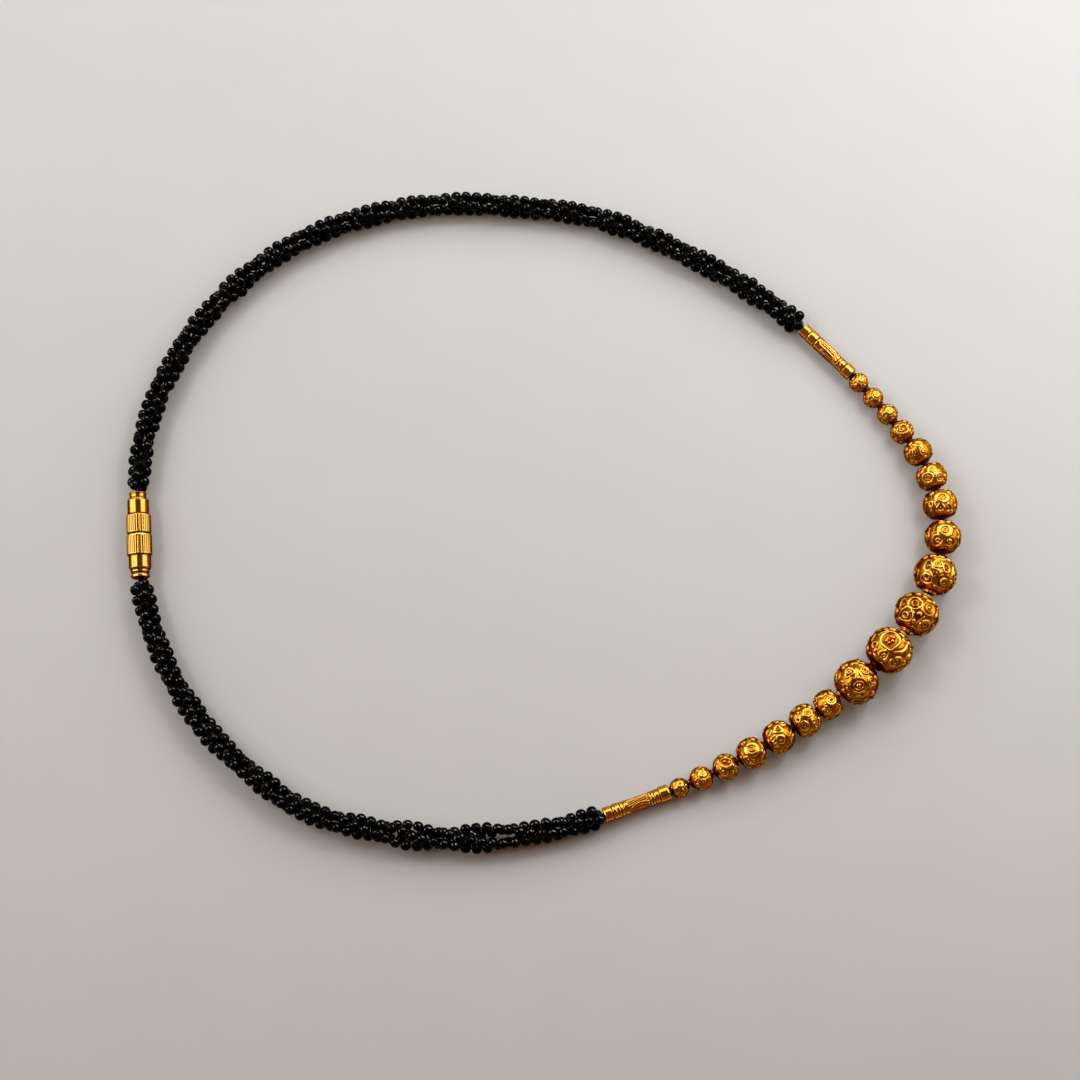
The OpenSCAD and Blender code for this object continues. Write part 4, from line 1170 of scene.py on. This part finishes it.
def swept_tube(points, radius, sides, closed_ends=True):
    p = np.asarray(points, float)
    t = np.gradient(p, axis=0)
    t /= np.linalg.norm(t, axis=1, keepdims=True)
    s = np.cross([0, 0, 1.0], t)
    s /= np.maximum(np.linalg.norm(s, axis=1, keepdims=True), 1e-6)
    u = np.cross(t, s)
    ang = np.linspace(0, 2 * math.pi, sides, endpoint=False)
    ring = p[:, None] + radius * (np.cos(ang)[None, :, None] * s[:, None] + np.sin(ang)[None, :, None] * u[:, None])
    n = len(p)
    i, j = np.meshgrid(np.arange(n - 1), np.arange(sides), indexing="ij")
    a = i * sides + j
    b = i * sides + (j + 1) % sides
    quads = np.stack([a, b, b + sides, a + sides], -1).reshape(-1, 4)
    verts = ring.reshape(-1, 3)
    caps = []
    c0, c1 = len(verts), len(verts) + 1
    verts = np.vstack([verts, p[:1], p[-1:]])
    for j in range(sides):
        caps.append((c0, (j + 1) % sides, j))
        caps.append((c1, (n - 1) * sides + j, (n - 1) * sides + (j + 1) % sides))
    return verts, quads, np.array(caps)


def join_tubes(name, tubes):
    verts, quads, tris, off = [], [], [], 0
    for v, q, t in tubes:
        verts.append(v)
        quads.append(q + off)
        tris.append(t + off)
        off += len(v)
    return make_mesh(name, np.vstack(verts), np.vstack(quads), np.vstack(tris))


up_plan = [CLASP_AT, clasp_top + cd * GAP] + UPPER_PLAN + [TUBE_AT - up_dir * GAP, upper_end]
low_plan = [lower_start, lower_end + lower_dir * GAP] + LOWER_PLAN + [clasp_low - cd * GAP, CLASP_AT]
ropes = [
    ("black_rope_upper", up_plan, clasp_z, tube_z, 17, 0.785, 7, [(48.5, 3, 0.16)], "rope_upper", 16, (-cd, up_dir),
     ([1.05, 2.1, 1.05, 2.1], [1.05, 2.1, 1.05, 2.1])),
    ("black_rope_lower", low_plan, tube_z, clasp_z, 11, 0.785, 11, [(23.5, 7, 0.34), (38.5, 4.5, 0.36)], "rope_lower", 16, (-lower_dir, cd),
     ([1.05, 2.1, 1.05, 2.1], [1.05, 2.1, 1.2, 2.2])),
]
for name, plan, z_a, z_b, quarters, phase, seed, loose, node_name, seg, (into_a, into_b), (first, last) in ropes:
    rng = np.random.default_rng(seed)
    path, s = dense(plan, z_a, z_b)
    p, who, dia, length, worst = strand_beads(path, s, quarters, phase, rng, loose, first, last)
    print(name, len(p), "beads, worst overlap", round(worst, 3), "mm")
    ob = rope_mesh(name, p, who, dia, length, rng, seg)
    finish_piece(ob, BLACK, "black_beads", node_name)
    tubes = []
    for k in range(4):
        ids = np.where(who == k)[0]
        a0 = path[0] + np.append(into_a, 0) * 0.5
        b0 = path[-1] + np.append(into_b, 0) * 0.5
        pts = np.vstack([a0, p[ids], b0])
        d = travel(pts)
        tubes.append(swept_tube(at(np.linspace(0, d[-1], 3 * len(pts)), pts, d), 0.17, 6))
    ob = join_tubes(name + "_threads", tubes)
    ob.data.materials.append(THREAD)
    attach(ob, "root")

# ---------------------------------------------------------------------------
# The thread through the tubes and gold beads: four twisted plies
# ---------------------------------------------------------------------------
end_a = np.array([upper_end[0], upper_end[1], tube_z])
end_b = np.array([lower_start[0], lower_start[1], tube_z])
joints = [(end_a + hole_end(0, -1)) / 2]
joints += [(hole_end(i, 1) + hole_end(i + 1, -1)) / 2 for i in range(LAST)]
joints += [(end_b + hole_end(LAST, 1)) / 2]
route = [np.array([*(TUBE_AT + 0.3 * up_dir), tube_z])]
for i in range(len(BEADS)):
    route += [joints[i], bead_at(i)]
route += [joints[-1], np.array([*(lower_end - 0.3 * lower_dir), tube_z])]
route = np.array(route)
d = travel(route)
s = np.arange(0, d[-1], 0.6)
path = at(s, route, d)
t = np.gradient(path, axis=0)
t /= np.linalg.norm(t, axis=1, keepdims=True)
side = np.cross([0, 0, 1.0], t)
side /= np.linalg.norm(side, axis=1, keepdims=True)
up = np.cross(t, side)
tubes = []
for k in range(4):
    a = 2 * math.pi * s / 3.2 + k * math.pi / 2
    tubes.append(swept_tube(path + 0.18 * (np.cos(a)[:, None] * side + np.sin(a)[:, None] * up), 0.145, 6))
ob = join_tubes("thread_plies", tubes)
finish_piece(ob, THREAD, "stringing_thread", "thread")

# ---------------------------------------------------------------------------
# Floor, light and camera
# ---------------------------------------------------------------------------
verts = np.array([(-1500, -1500, -0.02), (1500, -1500, -0.02), (1500, 1500, -0.02), (-1500, 1500, -0.02)], float)
floor = make_mesh("floor", verts, [(0, 1, 2, 3)])
m, nt, sh = new_material("pale_floor")
n = noise_at(nt, 60, 4)
nt.links.new(mix_colour(nt, n.outputs["Fac"], (0.61, 0.64, 0.65), (0.64, 0.67, 0.68)), sh.inputs["Base Color"])
sh.inputs["Roughness"].default_value = 0.85
sh.inputs["Specular IOR Level"].default_value = 0.2
floor.data.materials.append(m)


def area_light(name, place, aim, size_x, size_y, radiance, colour=(1, 1, 1)):
    """radiance is the brightness that a mirror would show."""
    light = bpy.data.lights.new(name, "AREA")
    light.shape = "RECTANGLE"
    light.size, light.size_y = size_x, size_y
    light.energy = radiance * math.pi * size_x * size_y
    light.color = colour
    ob = bpy.data.objects.new(name, light)
    ob.location = place
    ob.rotation_euler = (Vector(aim) - Vector(place)).to_track_quat("-Z", "Y").to_euler()
    ob.visible_camera = False
    bpy.context.scene.collection.objects.link(ob)
    return ob


def panel(name, inner, outer, y, depth, radiance):
    """A softbox whose section runs from inner to outer (x, z), facing the object."""
    a, b = np.array(inner), np.array(outer)
    mid = (a + b) / 2
    n = np.array([-(b - a)[1], (b - a)[0]])
    if n @ -mid < 0:
        n = -n
    light = area_light(name, (mid[0], y, mid[1]), (mid[0] + n[0], y, mid[1] + n[1]), 1, 1, 1, (1.0, 0.98, 0.95))
    size = float(np.linalg.norm(b - a))
    light.data.size, light.data.size_y = size, depth
    light.data.energy = radiance * math.pi * size * depth
    x = Vector((float((b - a)[0]), 0, float((b - a)[1]))).normalized()
    z = Vector((float(-n[0]), 0, float(-n[1]))).normalized()
    light.rotation_euler = Matrix((x, z.cross(x), z)).transposed().to_euler()
    return light


panel("left_box", (-0.33, 0.60), (-0.80, 0.06), 0.14, 0.56, 1.95)
panel("right_box", (0.11, 0.26), (0.50, 0.06), 0.22, 0.46, 1.75)
area_light("back_box", (0.01, 0.41, 0.33), (0.0, 0, 0), 0.60, 0.36, 2.0, (1.0, 0.98, 0.95))
area_light("left_spot", (-0.42, 0.24, 0.50), (0, 0, 0), 0.06, 0.08, 26, (1.0, 0.98, 0.95))
area_light("right_spot", (0.24, 0.26, 0.44), (0, 0, 0), 0.05, 0.07, 24, (1.0, 0.98, 0.95))
world = bpy.data.worlds.new("studio")
world.use_nodes = True
bg = world.node_tree.nodes["Background"]
# warm and dim round the softboxes, dimmer overhead
toward = world.node_tree.nodes.new("ShaderNodeTexCoord")
split = world.node_tree.nodes.new("ShaderNodeSeparateXYZ")
world.node_tree.links.new(toward.outputs["Generated"], split.inputs[0])
rise = maths(world.node_tree, "MULTIPLY", split.outputs[2], 1.0, True)
world.node_tree.links.new(mix_colour(world.node_tree, rise, (0.22, 0.115, 0.055), (0.10, 0.045, 0.02)), bg.inputs[0])
bg.inputs[1].default_value = 1.0
bpy.context.scene.world = world

cam = bpy.data.cameras.new("camera")
cam.lens = 85
cam.sensor_width = 36
cam.clip_end = 10
ob = bpy.data.objects.new("camera", cam)
ob.location = CAMERA * MM
ob.rotation_euler = (Vector(LOOK_AT * MM) - Vector(CAMERA * MM)).to_track_quat("-Z", "Y").to_euler()
bpy.context.scene.collection.objects.link(ob)
bpy.context.scene.camera = ob
bpy.context.scene.view_settings.view_transform = "Standard"
bpy.context.scene.view_settings.look = "None"
